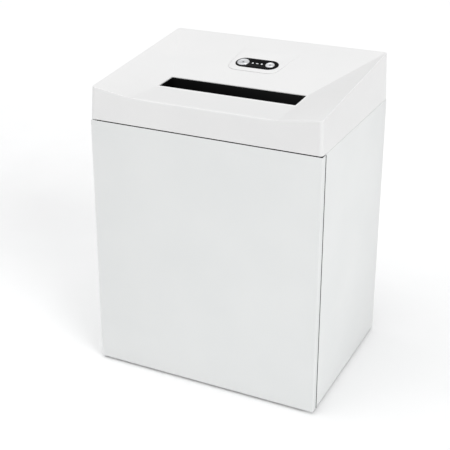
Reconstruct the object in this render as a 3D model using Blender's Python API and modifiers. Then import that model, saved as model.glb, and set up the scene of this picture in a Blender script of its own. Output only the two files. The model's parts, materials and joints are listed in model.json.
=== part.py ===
"""A cabinet paper shredder as an assembly of separate pieces.

A laminated cabinet with a full-height door holds the waste bin. A moulded hood covers the cutting head:
two disc rollers, a three-stage gear train and a motor on a tray that rests on the cabinet's shelf.
Metres, +Z up. The origin is the middle of the footprint on the floor, and the front faces -Y.
"""

import math

import bmesh
import bpy
from mathutils import Matrix, Vector

# ---------------------------------------------------------------- overall sizes
WIDTH = 0.500
DEPTH = 0.384
GLIDE_HEIGHT = 0.006
CABINET_HEIGHT = 0.5567
HOOD_FRONT_RISE = 0.0685
HOOD_BACK_RISE = 0.102
HOOD_LIP_RISE = 0.0562

# ---------------------------------------------------------------- fits
GAP = 0.0003
DOOR_BACK_GAP = 0.002
DOOR_TOP_GAP = 0.002
RUNNING_GAP = 0.0004

# ---------------------------------------------------------------- cabinet
SIDE_BOARD = 0.016
BACK_BOARD = 0.008
DOOR_BOARD = 0.0185
BOARD_EDGE = 0.0008
HEAD_ROOM = 0.0605
GLIDE_RADIUS = 0.013
GLIDE_INSET = 0.035
CHUTE_LENGTH = 0.304
CHUTE_WIDTH = 0.100

# ---------------------------------------------------------------- door furniture
PIVOT_INSET = 0.006
PIVOT_SETBACK = 0.0065
PIN_RADIUS = 0.0020
PIN_LENGTH = 0.011
BUSH_WALL = 0.0010
LEAF_THICKNESS = 0.0012
LEAF_HALF_WIDTH = 0.004
LEAF_LENGTH = 0.070
CATCH_HEIGHT = 0.0195
CATCH_WIDTH = 0.024
CATCH_DEPTH = 0.027
STRIKE_THICKNESS = 0.0012
MAGNET_THICKNESS = 0.003
REED_DEPTH = 0.019

# ---------------------------------------------------------------- bin
BIN_WALL = 0.0025
BIN_SIDE_ROOM = 0.012
BIN_FRONT_ROOM = 0.0115
BIN_BACK_ROOM = 0.014
BIN_TOP_ROOM = 0.0237
BIN_DRAFT = 0.009
BIN_RIM = 0.005
BIN_CORNER = 0.014
HAND_HOLE_LENGTH = 0.110
HAND_HOLE_HEIGHT = 0.030
HAND_HOLE_DROP = 0.027

# ---------------------------------------------------------------- hood
HOOD_WALL = 0.003
HOOD_DRAFT = 0.0033
HOOD_CORNER = 0.007
HOOD_EDGE = 0.0020
LIP_HALF_LENGTH = 0.1587
SLOT_LENGTH = 0.3018
SLOT_WIDTH = 0.0602
SLOT_SETBACK = 0.1084
SLOT_FRONT_RISE = 0.052
SLOT_BACK_RISE = 0.0544
VENT_COUNT = 9
VENT_WIDTH = 0.004
VENT_HEIGHT = 0.034
VENT_PITCH = 0.011
VENT_CENTRE = -0.120

# ---------------------------------------------------------------- feed throat
THROAT_WALL = 0.002
THROAT_FLANGE = 0.006
NECK_WIDTH = 0.009
NECK_CLEARANCE = 0.0045

# ---------------------------------------------------------------- control panel
PANEL_LENGTH = 0.096
PANEL_WIDTH = 0.039
PANEL_UP_SLOPE = 0.099
PANEL_PROUD = 0.0006
PANEL_DEPTH = 0.0034
START_RADIUS = 0.0140
START_MARGIN = 0.0025
REVERSE_RADIUS = 0.0108
REVERSE_MARGIN = 0.0074
BUTTON_PROUD = 0.0036
LIGHT_SHARE = 0.28
LIGHT_RADIUS = 0.0012
LIGHT_DASH = 0.0052
BOARD_DEPTH = 0.0130
BOARD_LENGTH = 0.104
BOARD_WIDTH = 0.036
BOARD_THICKNESS = 0.0016

# ---------------------------------------------------------------- cutting head
TRAY_FLOOR = 0.0025
TRAY_WALL_HEIGHT = 0.0115
PLATE_THICKNESS = 0.004
ROLLER_SPACING = 0.042
DISC_OVERLAP = 0.002
ROLLER_CORE_RADIUS = 0.014
ROLLER_HEIGHT = 0.0377
JOURNAL_RADIUS = 0.008
BUSHING_WALL = 0.0027
BUSHING_LENGTH = 0.007
DISC_COUNT = 26
DISC_PITCH = 0.0116
DISC_CLEARANCE = 0.0002
ROLLER_SEGMENTS = 12
TIE_BAR_RADIUS = 0.005
COMB_BAR = 0.012
COMB_THICKNESS = 0.002

# ---------------------------------------------------------------- gear train
PRESSURE_ANGLE = math.radians(20)
ADDENDUM = 0.85
DEDENDUM = 1.15
BACKLASH = 0.14
ROLLER_GEAR_TEETH = 21
DRIVE_GEAR_TEETH = 40
DRIVE_PINION_TEETH = 14
DRIVE_MODULE = 0.0015
MIDDLE_GEAR_TEETH = 48
MIDDLE_PINION_TEETH = 15
FIRST_GEAR_TEETH = 50
MOTOR_PINION_TEETH = 15
FINE_MODULE = 0.001
DRIVE_STAGE_ANGLE = math.radians(25)
MIDDLE_STAGE_ANGLE = math.radians(5)
MOTOR_STAGE_ANGLE = math.radians(-5)
AXLE_RADIUS = 0.004
GEAR_PLANE_GAP = 0.002
ROLLER_GEAR_FACE = 0.011
DRIVE_GEAR_FACE = 0.009
MIDDLE_GEAR_FACE = 0.008
FIRST_GEAR_FACE = 0.007

# ---------------------------------------------------------------- motor and electrics
MOTOR_RADIUS = 0.040
MOTOR_LENGTH = 0.086
MOTOR_BORE = 0.0305
SHIELD_THICKNESS = 0.008
ROTOR_LENGTH = 0.070
FAN_RADIUS = 0.030
FAN_THICKNESS = 0.010
FAN_BLADES = 8
CAPACITOR_RADIUS = 0.018
CAPACITOR_HEIGHT = 0.065
REAR_FITTING_RISE = 0.062
INLET_X = 0.155
ROCKER_X = 0.108
ROCKER_TILT = math.radians(8)

ROUND_SEGMENTS = 24

# ---------------------------------------------------------------- derived places
SIDE_TOP = GLIDE_HEIGHT + CABINET_HEIGHT
HOOD_BASE = SIDE_TOP + GAP
DOOR_TOP = HOOD_BASE - DOOR_TOP_GAP
DOOR_BACK = -DEPTH / 2 + DOOR_BOARD
SIDE_FRONT = DOOR_BACK + DOOR_BACK_GAP
INNER_HALF = WIDTH / 2 - SIDE_BOARD - GAP
BACK_INNER = DEPTH / 2 - BACK_BOARD - GAP
FLOOR_TOP = GLIDE_HEIGHT + SIDE_BOARD
SHELF_TOP = SIDE_TOP - HEAD_ROOM
SHELF_BOTTOM = SHELF_TOP - SIDE_BOARD
SLOT_FRONT = -DEPTH / 2 + SLOT_SETBACK
SLOT_BACK = SLOT_FRONT + SLOT_WIDTH
SLOT_MIDDLE = (SLOT_FRONT + SLOT_BACK) / 2
RIM_HALF_WIDTH = WIDTH / 2 - HOOD_DRAFT
RIM_HALF_DEPTH = DEPTH / 2 - HOOD_DRAFT
START_X = START_MARGIN + START_RADIUS - PANEL_LENGTH / 2
REVERSE_X = PANEL_LENGTH / 2 - REVERSE_MARGIN - REVERSE_RADIUS
LIGHTS_ROOM = (REVERSE_X - REVERSE_RADIUS) - (START_X + START_RADIUS)
LIGHTS_X = START_X + START_RADIUS + LIGHTS_ROOM / 2
LIGHT_SPACING = LIGHT_SHARE * LIGHTS_ROOM
PIVOT = Vector((-WIDTH / 2 + PIVOT_INSET, -DEPTH / 2 + PIVOT_SETBACK, 0))
TRAY_BASE = SHELF_TOP + GAP
TRAY_TOP = TRAY_BASE + TRAY_FLOOR
ROLLER_Z = TRAY_BASE + ROLLER_HEIGHT
ROLLER_RADIUS = (ROLLER_SPACING + DISC_OVERLAP) / 2
DISC_WIDTH = DISC_PITCH / 2 - DISC_CLEARANCE
ROLLER_HALF = ((DISC_COUNT - 1) * DISC_PITCH + DISC_WIDTH + DISC_PITCH / 2) / 2
PLATE_INNER = ROLLER_HALF + 0.0070
PLATE_OUTER = PLATE_INNER + PLATE_THICKNESS

# ---------------------------------------------------------------- scene


def clear_scene():
    """Remove what the file holds, so that only the shredder is in it."""
    for obj in list(bpy.data.objects):
        bpy.data.objects.remove(obj, do_unlink=True)


def new_collection(name):
    """Return a new collection linked to the scene."""
    collection = bpy.data.collections.new(name)
    bpy.context.scene.collection.children.link(collection)
    return collection


clear_scene()
PARTS = new_collection("paper_shredder")
CUTTERS = new_collection("cutters")

# ---------------------------------------------------------------- materials


def material(name, colour, roughness, metallic=0.0):
    """Return a Principled material of one colour."""
    made = bpy.data.materials.new(name)
    made.use_nodes = True
    shader = made.node_tree.nodes["Principled BSDF"]
    shader.inputs["Base Color"].default_value = (*colour, 1.0)
    shader.inputs["Roughness"].default_value = roughness
    shader.inputs["Metallic"].default_value = metallic
    return made


WHITE_LAMINATE = material("white_laminate", (0.82, 0.83, 0.82), 0.45)
WHITE_PLASTIC = material("white_plastic", (0.84, 0.84, 0.83), 0.40)
BLACK_PLASTIC = material("black_plastic", (0.012, 0.012, 0.013), 0.50)
GLOSS_BLACK = material("gloss_black", (0.010, 0.010, 0.011), 0.20)
BIN_GREY = material("bin_grey", (0.10, 0.10, 0.11), 0.55)
SILVER = material("silver_button", (0.55, 0.56, 0.57), 0.30, 0.8)
STEEL = material("steel", (0.60, 0.60, 0.60), 0.35, 1.0)
CUTTER_STEEL = material("cutter_steel", (0.42, 0.43, 0.44), 0.30, 1.0)
NYLON = material("nylon", (0.80, 0.78, 0.70), 0.50)
BRONZE = material("bronze", (0.55, 0.36, 0.15), 0.40, 1.0)
GREEN_BOARD = material("green_board", (0.02, 0.14, 0.06), 0.50)
CLEAR_LENS = material("clear_lens", (0.75, 0.80, 0.82), 0.15)
ALUMINIUM = material("aluminium", (0.70, 0.71, 0.72), 0.40, 1.0)

# ---------------------------------------------------------------- modelling helpers


def add_object(name, mesh, surface, location=(0, 0, 0)):
    """Link a mesh or a curve as one part of the shredder."""
    obj = bpy.data.objects.new(name, mesh)
    obj.location = location
    mesh.materials.append(surface)
    PARTS.objects.link(obj)
    return obj


def mesh_from(bm, name):
    """Turn a bmesh into a mesh and free it."""
    mesh = bpy.data.meshes.new(name)
    bm.to_mesh(mesh)
    bm.free()
    return mesh


def block(name, low, high, surface, edge=0.0, frame=None):
    """A box between two corners, with its edges broken by a Bevel. The corners are in `frame` if given."""
    low = Vector(low)
    high = Vector(high)
    bm = bmesh.new()
    bmesh.ops.create_cube(bm, size=1.0, matrix=Matrix.Diagonal((*(high - low), 1.0)))
    obj = add_object(name, mesh_from(bm, name), surface)
    place = Matrix.Translation((low + high) / 2)
    obj.matrix_world = place if frame is None else frame @ place
    if edge:
        bevel = obj.modifiers.new("edge", "BEVEL")
        bevel.width = edge
        bevel.segments = 1
    return obj


def as_cutter(obj):
    """Hide an object that only cuts or joins another."""
    PARTS.objects.unlink(obj)
    CUTTERS.objects.link(obj)
    obj.hide_render = True
    obj.display_type = "WIRE"
    return obj


def combine(obj, others, operation):
    """Cut helpers from an object, or join them to it."""
    for other in others:
        boolean = obj.modifiers.new(other.name, "BOOLEAN")
        boolean.operation = operation
        boolean.solver = "EXACT"
        boolean.object = as_cutter(other)
    return obj


def along(axis, centre):
    """A frame whose +Z runs along an axis from a centre."""
    turn = Vector((0, 0, 1)).rotation_difference(Vector(axis)).to_matrix().to_4x4()
    return Matrix.Translation(centre) @ turn


def across(centre):
    """A frame whose local XY plane is the world's YZ plane, for outlines that turn about X."""
    turn = Matrix(((0, 0, 1, 0), (1, 0, 0, 0), (0, 1, 0, 0), (0, 0, 0, 1)))
    return Matrix.Translation(centre) @ turn


def turned(name, profile, frame, surface, closed=False, segments=ROUND_SEGMENTS):
    """A profile of (radius, height) points, running down the outer side, turned about the frame's Z."""
    bm = bmesh.new()
    points = [bm.verts.new((radius, 0, height)) for radius, height in profile]
    for first, second in zip(points, points[1:]):
        bm.edges.new((first, second))
    if closed:
        bm.edges.new((points[-1], points[0]))
    mesh = bpy.data.meshes.new(name)
    bm.to_mesh(mesh)
    bm.free()
    obj = add_object(name, mesh, surface)
    obj.matrix_world = frame
    screw = obj.modifiers.new("turn", "SCREW")
    screw.steps = segments
    screw.render_steps = segments
    screw.use_merge_vertices = True
    screw.merge_threshold = 0.00001
    screw.use_smooth_shade = True
    return obj


def rod(name, radius, length, frame, surface, segments=ROUND_SEGMENTS):
    """A round bar of one radius, from the frame's origin along its Z."""
    return turned(name, [(0, length), (radius, length), (radius, 0), (0, 0)], frame, surface, False, segments)


def ring(name, inner, outer, length, frame, surface, segments=ROUND_SEGMENTS):
    """A plain bush, from the frame's origin along its Z."""
    profile = [(inner, length), (outer, length), (outer, 0), (inner, 0)]
    return turned(name, profile, frame, surface, True, segments)


def outline(name, loops, thickness, frame, surface):
    """A flat piece from closed outlines, the first outside and the rest holes, centred on the frame."""
    curve = bpy.data.curves.new(name, "CURVE")
    curve.dimensions = "2D"
    curve.fill_mode = "BOTH"
    curve.extrude = thickness / 2
    for loop in loops:
        spline = curve.splines.new("POLY")
        spline.points.add(len(loop) - 1)
        for point, (x, y) in zip(spline.points, loop):
            point.co = (x, y, 0, 1)
        spline.use_cyclic_u = True
    obj = add_object(name, curve, surface)
    obj.matrix_world = frame
    return obj


def to_mesh_object(obj):
    """Replace a curve by its mesh, welded, so that a Boolean can use it."""
    bpy.context.view_layer.update()
    graph = bpy.context.evaluated_depsgraph_get()
    mesh = bpy.data.meshes.new_from_object(obj.evaluated_get(graph))
    bm = bmesh.new()
    bm.from_mesh(mesh)
    bmesh.ops.remove_doubles(bm, verts=bm.verts, dist=0.000001)
    bm.to_mesh(mesh)
    bm.free()
    name = obj.name
    frame = obj.matrix_world.copy()
    bpy.data.objects.remove(obj, do_unlink=True)
    made = bpy.data.objects.new(name, mesh)
    made.matrix_world = frame
    PARTS.objects.link(made)
    return made


def circle(radius, centre=(0, 0), segments=ROUND_SEGMENTS):
    """The points of a circle."""
    steps = [2 * math.pi * step / segments for step in range(segments)]
    return [(centre[0] + radius * math.cos(a), centre[1] + radius * math.sin(a)) for a in steps]


def rectangle(low, high):
    """The corners of a rectangle."""
    return [(low[0], low[1]), (high[0], low[1]), (high[0], high[1]), (low[0], high[1])]


def stadium(half_length, radius, centre=(0, 0), steps=10):
    """A straight-sided outline with round ends, along X."""
    points = []
    for side, start in ((1, -math.pi / 2), (-1, math.pi / 2)):
        for step in range(steps + 1):
            angle = start + math.pi * step / steps
            x = side * (half_length - radius) + radius * math.cos(angle)
            points.append((centre[0] + x, centre[1] + radius * math.sin(angle)))
    return points


def gear_outline(teeth, module, phase):
    """A spur gear's outline with involute flanks, each drawn as one chord. A tooth points along `phase`."""
    pitch = module * teeth / 2
    base = pitch * math.cos(PRESSURE_ANGLE)
    tip = pitch + ADDENDUM * module
    root = pitch - DEDENDUM * module
    half_tooth = (math.pi / 2 - BACKLASH) / teeth
    involute = math.tan(PRESSURE_ANGLE) - PRESSURE_ANGLE

    def half_angle(radius):
        roll = math.acos(min(1.0, base / radius))
        return half_tooth + involute - (math.tan(roll) - roll)

    points = []
    for tooth in range(teeth):
        middle = phase + 2 * math.pi * tooth / teeth
        for side, radius in ((-1, root), (-1, tip), (1, tip), (1, root)):
            angle = middle + side * half_angle(radius)
            points.append((radius * math.cos(angle), radius * math.sin(angle)))
    return points


def meshed_phase(phase, teeth, other_teeth, direction):
    """The phase of a gear that meshes with one of `teeth` at `phase`, lying from it in `direction`."""
    offset = (direction - phase) * teeth / (2 * math.pi)
    return direction + math.pi - (2 * math.pi / other_teeth) * (0.5 - offset)


# ---------------------------------------------------------------- cabinet


def make_cabinet():
    """The carcass: two sides, back, floor, the shelf that carries the head, and the rail before the head."""
    for side, sign in (("left", -1), ("right", 1)):
        low = (min(sign * WIDTH / 2, sign * (WIDTH / 2 - SIDE_BOARD)), SIDE_FRONT, GLIDE_HEIGHT)
        high = (low[0] + SIDE_BOARD, DEPTH / 2, SIDE_TOP)
        board = block(f"cabinet_side_{side}", low, high, WHITE_LAMINATE, BOARD_EDGE)
        if side == "left":
            pocket_low = (PIVOT.x - LEAF_HALF_WIDTH - GAP, SIDE_FRONT - 0.01, DOOR_TOP)
            pocket_high = (PIVOT.x + LEAF_HALF_WIDTH + GAP, PIVOT.y + LEAF_LENGTH + 0.001, SIDE_TOP + 0.01)
            combine(board, [block("leaf_pocket", pocket_low, pocket_high, WHITE_LAMINATE)], "DIFFERENCE")
    block(
        "cabinet_back_panel",
        (-INNER_HALF, DEPTH / 2 - BACK_BOARD, GLIDE_HEIGHT),
        (INNER_HALF, DEPTH / 2, SIDE_TOP),
        WHITE_LAMINATE,
        BOARD_EDGE,
    )
    block(
        "cabinet_floor",
        (-INNER_HALF, SIDE_FRONT, GLIDE_HEIGHT),
        (INNER_HALF, BACK_INNER, FLOOR_TOP),
        WHITE_LAMINATE,
        BOARD_EDGE,
    )
    shelf = block(
        "head_shelf",
        (-INNER_HALF, SIDE_FRONT, SHELF_BOTTOM),
        (INNER_HALF, BACK_INNER, SHELF_TOP),
        WHITE_LAMINATE,
        BOARD_EDGE,
    )
    chute = block(
        "shelf_chute",
        (-CHUTE_LENGTH / 2, SLOT_MIDDLE - CHUTE_WIDTH / 2, SHELF_BOTTOM - 0.01),
        (CHUTE_LENGTH / 2, SLOT_MIDDLE + CHUTE_WIDTH / 2, SHELF_TOP + 0.01),
        WHITE_LAMINATE,
    )
    combine(shelf, [chute], "DIFFERENCE")
    block(
        "front_rail",
        (-INNER_HALF, SIDE_FRONT, SHELF_TOP + GAP),
        (INNER_HALF, SIDE_FRONT + SIDE_BOARD, SIDE_TOP),
        WHITE_LAMINATE,
        BOARD_EDGE,
    )


def make_glides():
    """Four round nylon glides under the cabinet's floor."""
    top = GLIDE_HEIGHT - GAP
    chamfer = 0.001
    profile = [(0, top), (GLIDE_RADIUS, top), (GLIDE_RADIUS, chamfer), (GLIDE_RADIUS - chamfer, 0), (0, 0)]
    places = (("front_left", -1, -1), ("front_right", 1, -1), ("rear_left", -1, 1), ("rear_right", 1, 1))
    for name, x_sign, y_sign in places:
        x = x_sign * (WIDTH / 2 - GLIDE_INSET)
        y = (SIDE_FRONT + GLIDE_INSET / 2) if y_sign < 0 else (BACK_INNER - GLIDE_INSET / 2)
        turned(f"glide_{name}", profile, Matrix.Translation((x, y, 0)), BLACK_PLASTIC)


# ---------------------------------------------------------------- door


def make_pivot_leaf(name, plate_z, pin_sign):
    """A pivot plate fixed to the cabinet's left side, with a pin that stands into the door's edge."""
    length = LEAF_LENGTH + LEAF_HALF_WIDTH
    frame = Matrix.Translation((PIVOT.x, PIVOT.y + (LEAF_LENGTH - LEAF_HALF_WIDTH) / 2, plate_z))
    turn = Matrix.Rotation(math.pi / 2, 4, "Z")
    plate = outline(name, [stadium(length / 2, LEAF_HALF_WIDTH)], LEAF_THICKNESS, frame @ turn, STEEL)
    plate = to_mesh_object(plate)
    pin_base = Vector((PIVOT.x, PIVOT.y, plate_z - pin_sign * LEAF_THICKNESS / 4))
    pin_length = PIN_LENGTH + LEAF_THICKNESS / 2
    pin = rod(f"{name}_pin", PIN_RADIUS, pin_length, along((0, 0, pin_sign), pin_base), STEEL)
    return combine(plate, [pin], "UNION")


def make_door():
    """The full-height door with its bushes, strike plate and magnet, and what they meet on the cabinet."""
    axis = bpy.data.objects.new("door_axis", None)
    axis.location = (PIVOT.x, PIVOT.y, 0)
    PARTS.objects.link(axis)
    bore = PIN_RADIUS + GAP + BUSH_WALL + GAP
    door = block(
        "door_panel",
        (-WIDTH / 2, -DEPTH / 2, GLIDE_HEIGHT),
        (WIDTH / 2, DOOR_BACK, DOOR_TOP),
        WHITE_LAMINATE,
        BOARD_EDGE,
    )
    bush_length = PIN_LENGTH + 0.001
    pieces = [door]
    cutters = []
    ends = (("top", DOOR_TOP, -1), ("bottom", GLIDE_HEIGHT, 1))
    for end, z, inward in ends:
        start = Vector((PIVOT.x, PIVOT.y, z - inward * 0.01))
        cutters.append(
            rod(f"bush_bore_{end}", bore, bush_length + 0.0113, along((0, 0, inward), start), WHITE_LAMINATE)
        )
        seat = Vector((PIVOT.x, PIVOT.y, z + inward * GAP))
        frame = along((0, 0, inward), seat)
        bush = ring(f"pivot_bush_{end}", PIN_RADIUS + GAP, bore - GAP, bush_length, frame, NYLON)
        pieces.append(bush)
        plate_z = z - inward * (GAP + LEAF_THICKNESS / 2)
        make_pivot_leaf(f"pivot_leaf_{end}", plate_z, inward)
    combine(door, cutters, "DIFFERENCE")

    catch_top = SHELF_BOTTOM - GAP
    catch_low = (INNER_HALF - CATCH_WIDTH, SIDE_FRONT, catch_top - CATCH_HEIGHT)
    catch_high = (INNER_HALF, SIDE_FRONT + CATCH_DEPTH, catch_top)
    block("magnet_catch", catch_low, catch_high, BLACK_PLASTIC, 0.001)
    strike_high_y = DOOR_BACK + GAP + STRIKE_THICKNESS
    strike = block(
        "strike_plate",
        (catch_low[0] - 0.002, DOOR_BACK + GAP, catch_low[2]),
        (catch_high[0] - 0.002, strike_high_y, catch_high[2] - 0.002),
        STEEL,
        0.0003,
    )
    pieces.append(strike)

    reed_high_x = catch_low[0] - 0.020
    reed_low_x = reed_high_x - 0.040
    reed_low_y = DOOR_BACK + GAP + MAGNET_THICKNESS + 0.001
    block(
        "door_reed_switch",
        (reed_low_x, reed_low_y, catch_top - 0.013),
        (reed_high_x, reed_low_y + REED_DEPTH, catch_top),
        BLACK_PLASTIC,
        0.0008,
    )
    magnet = block(
        "door_magnet",
        (reed_low_x + 0.005, DOOR_BACK + GAP, catch_top - 0.012),
        (reed_high_x - 0.005, DOOR_BACK + GAP + MAGNET_THICKNESS, catch_top - 0.001),
        BLACK_PLASTIC,
        0.0005,
    )
    pieces.append(magnet)
    bpy.context.view_layer.update()
    for piece in pieces:
        frame = piece.matrix_world.copy()
        piece.parent = axis
        piece.matrix_world = frame


# ---------------------------------------------------------------- waste bin


def make_bin():
    """The open-topped waste bin, drafted, with a rim all round and a hand hole in its front wall."""
    low = Vector((-INNER_HALF + BIN_SIDE_ROOM, DOOR_BACK + BIN_FRONT_ROOM, FLOOR_TOP + GAP))
    high = Vector((INNER_HALF - BIN_SIDE_ROOM, BACK_INNER - BIN_BACK_ROOM, SHELF_BOTTOM - BIN_TOP_ROOM))
    centre = (low + high) / 2
    bm = bmesh.new()
    bmesh.ops.create_cube(bm, size=1.0, matrix=Matrix.Diagonal((*(high - low), 1.0)))
    top = [face for face in bm.faces if face.normal.z > 0.9]
    bmesh.ops.delete(bm, geom=top, context="FACES")
    for vert in bm.verts:
        if vert.co.z < 0:
            vert.co.x -= math.copysign(BIN_DRAFT, vert.co.x)
            vert.co.y -= math.copysign(BIN_DRAFT, vert.co.y)
    upright = [edge for edge in bm.edges if abs(edge.verts[0].co.z - edge.verts[1].co.z) > 0.01]
    bmesh.ops.bevel(bm, geom=upright, offset=BIN_CORNER, segments=3, profile=0.5, affect="EDGES")
    rim = [edge for edge in bm.edges if edge.is_boundary]
    grown = bmesh.ops.extrude_edge_only(bm, edges=rim)["geom"]
    half = (high - low) / 2
    for vert in (part for part in grown if isinstance(part, bmesh.types.BMVert)):
        vert.co.x *= (half.x + BIN_RIM) / half.x
        vert.co.y *= (half.y + BIN_RIM) / half.y
    waste_bin = add_object("waste_bin", mesh_from(bm, "waste_bin"), BIN_GREY, centre)
    skin = waste_bin.modifiers.new("wall", "SOLIDIFY")
    skin.thickness = BIN_WALL
    skin.offset = -1
    skin.use_even_offset = True
    hole_top = high.z - HAND_HOLE_DROP
    hole = block(
        "bin_hand_hole",
        (-HAND_HOLE_LENGTH / 2, low.y - 0.02, hole_top - HAND_HOLE_HEIGHT),
        (HAND_HOLE_LENGTH / 2, low.y + 0.03, hole_top),
        BIN_GREY,
    )
    combine(waste_bin, [hole], "DIFFERENCE")


# ---------------------------------------------------------------- hood


def panel_frame(x, up_slope):
    """A frame on the hood's back facet: X right, Y up the slope, Z out of the surface."""
    slope = math.atan2(HOOD_BACK_RISE - SLOT_BACK_RISE, RIM_HALF_DEPTH - SLOT_BACK)
    start = Vector((x, SLOT_BACK, HOOD_BASE + SLOT_BACK_RISE))
    place = start + up_slope * Vector((0, math.cos(slope), math.sin(slope)))
    return Matrix.Translation(place) @ Matrix.Rotation(slope, 4, "X")


def rear_frame(x, rise):
    """A frame on the hood's rear wall: Y up the wall, Z out of it, X towards the world's -X."""
    lean = math.atan2(HOOD_DRAFT, HOOD_BACK_RISE)
    y = DEPTH / 2 - rise * math.tan(lean)
    turn = Matrix(
        (
            (-1, 0, 0, 0),
            (0, -math.sin(lean), math.cos(lean), 0),
            (0, math.cos(lean), math.sin(lean), 0),
            (0, 0, 0, 1),
        )
    )
    return Matrix.Translation((x, y, HOOD_BASE + rise)) @ turn


def hood_skin():
    """The hood's outer surface: four leaning walls and the facets that fall from the rim to the feed slot."""
    bm = bmesh.new()

    def row(y_list, x_list, z_list):
        return [bm.verts.new(point) for point in zip(x_list, y_list, z_list)]

    lip = LIP_HALF_LENGTH
    slot = SLOT_LENGTH / 2
    lip_z = HOOD_BASE + HOOD_LIP_RISE
    front_z = HOOD_BASE + HOOD_FRONT_RISE
    back_z = HOOD_BASE + HOOD_BACK_RISE
    side_z = front_z + (back_z - front_z) * (SLOT_FRONT + RIM_HALF_DEPTH) / (2 * RIM_HALF_DEPTH)
    across_front = (-WIDTH / 2, -lip, lip, WIDTH / 2)
    base_front = row([-DEPTH / 2] * 4, across_front, [HOOD_BASE] * 4)
    base_back = row([DEPTH / 2] * 2, (-WIDTH / 2, WIDTH / 2), [HOOD_BASE] * 2)
    rim_x = (-RIM_HALF_WIDTH, -lip, lip, RIM_HALF_WIDTH)
    rim_front = row([-RIM_HALF_DEPTH] * 4, rim_x, [front_z, lip_z, lip_z, front_z])
    rim_side = row([SLOT_FRONT] * 2, (-RIM_HALF_WIDTH, RIM_HALF_WIDTH), [side_z] * 2)
    rim_back = row([RIM_HALF_DEPTH] * 2, (-RIM_HALF_WIDTH, RIM_HALF_WIDTH), [back_z] * 2)
    slot_front = row([SLOT_FRONT] * 2, (-slot, slot), [HOOD_BASE + SLOT_FRONT_RISE] * 2)
    slot_back = row([SLOT_BACK] * 2, (-slot, slot), [HOOD_BASE + SLOT_BACK_RISE] * 2)
    for left in range(3):
        right = left + 1
        bm.faces.new((base_front[left], base_front[right], rim_front[right], rim_front[left]))
    bm.faces.new((base_back[1], base_back[0], rim_back[0], rim_back[1]))
    bm.faces.new((base_back[0], base_front[0], rim_front[0], rim_side[0], rim_back[0]))
    bm.faces.new((base_front[3], base_back[1], rim_back[1], rim_side[1], rim_front[3]))
    bm.faces.new((rim_front[1], rim_front[2], slot_front[1], slot_front[0]))
    bm.faces.new((slot_back[0], slot_back[1], rim_back[1], rim_back[0]))
    bm.faces.new((rim_front[0], rim_front[1], slot_front[0], rim_side[0]))
    bm.faces.new((rim_front[2], rim_front[3], rim_side[1], slot_front[1]))
    bm.faces.new((rim_side[0], slot_front[0], slot_back[0], rim_back[0]))
    bm.faces.new((slot_front[1], rim_side[1], rim_back[1], slot_back[1]))
    return bm


def on_outside(vert, z_least):
    """Whether a hood vertex lies on the walls' outline, above a height."""
    outside = abs(vert.co.x) > RIM_HALF_WIDTH - 0.0001 or abs(vert.co.y) > RIM_HALF_DEPTH - 0.0001
    return outside and vert.co.z > z_least


def make_hood():
    """The moulded hood, with its feed slot, the control panel's hole, rear fitting holes and vents."""
    bm = hood_skin()
    corners = [
        edge
        for edge in bm.edges
        if abs(edge.verts[0].co.z - edge.verts[1].co.z) > 0.04
        and all(abs(vert.co.x) > RIM_HALF_WIDTH - 0.0001 for vert in edge.verts)
    ]
    bmesh.ops.bevel(bm, geom=corners, offset=HOOD_CORNER, segments=3, profile=0.5, affect="EDGES")
    lowest_rim = HOOD_BASE + SLOT_FRONT_RISE
    bm.normal_update()
    rim = [
        edge
        for edge in bm.edges
        if len(edge.link_faces) == 2
        and all(on_outside(vert, lowest_rim) for vert in edge.verts)
        and edge.calc_face_angle(0) > math.radians(40)
    ]
    bmesh.ops.bevel(bm, geom=rim, offset=HOOD_EDGE, segments=1, profile=0.5, affect="EDGES")
    hood = add_object("hood_cover", mesh_from(bm, "hood_cover"), WHITE_PLASTIC)
    skin = hood.modifiers.new("wall", "SOLIDIFY")
    skin.thickness = HOOD_WALL
    skin.offset = -1
    skin.use_even_offset = True
    cut_depth = 4 * HOOD_WALL
    hole = outline(
        "panel_hole",
        [stadium(PANEL_LENGTH / 2 + GAP, PANEL_WIDTH / 2 + GAP)],
        cut_depth,
        panel_frame(0, PANEL_UP_SLOPE),
        WHITE_PLASTIC,
    )
    cutters = [to_mesh_object(hole)]
    for name, x, half_size in (("inlet_hole", INLET_X, INLET_BODY), ("rocker_hole", ROCKER_X, ROCKER_BODY)):
        reach = Vector((half_size[0] + GAP, half_size[1] + GAP, cut_depth))
        cutters.append(block(name, -reach, reach, WHITE_PLASTIC, 0, rear_frame(x, REAR_FITTING_RISE)))
    vent_frame = rear_frame(VENT_CENTRE, REAR_FITTING_RISE - 0.006)
    for vent in range(VENT_COUNT):
        middle = (vent - (VENT_COUNT - 1) / 2) * VENT_PITCH
        low = (middle - VENT_WIDTH / 2, -VENT_HEIGHT / 2, -cut_depth)
        high = (middle + VENT_WIDTH / 2, VENT_HEIGHT / 2, cut_depth)
        cutters.append(block(f"vent_{vent}", low, high, WHITE_PLASTIC, 0, vent_frame))
    combine(hood, cutters, "DIFFERENCE")


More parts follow.
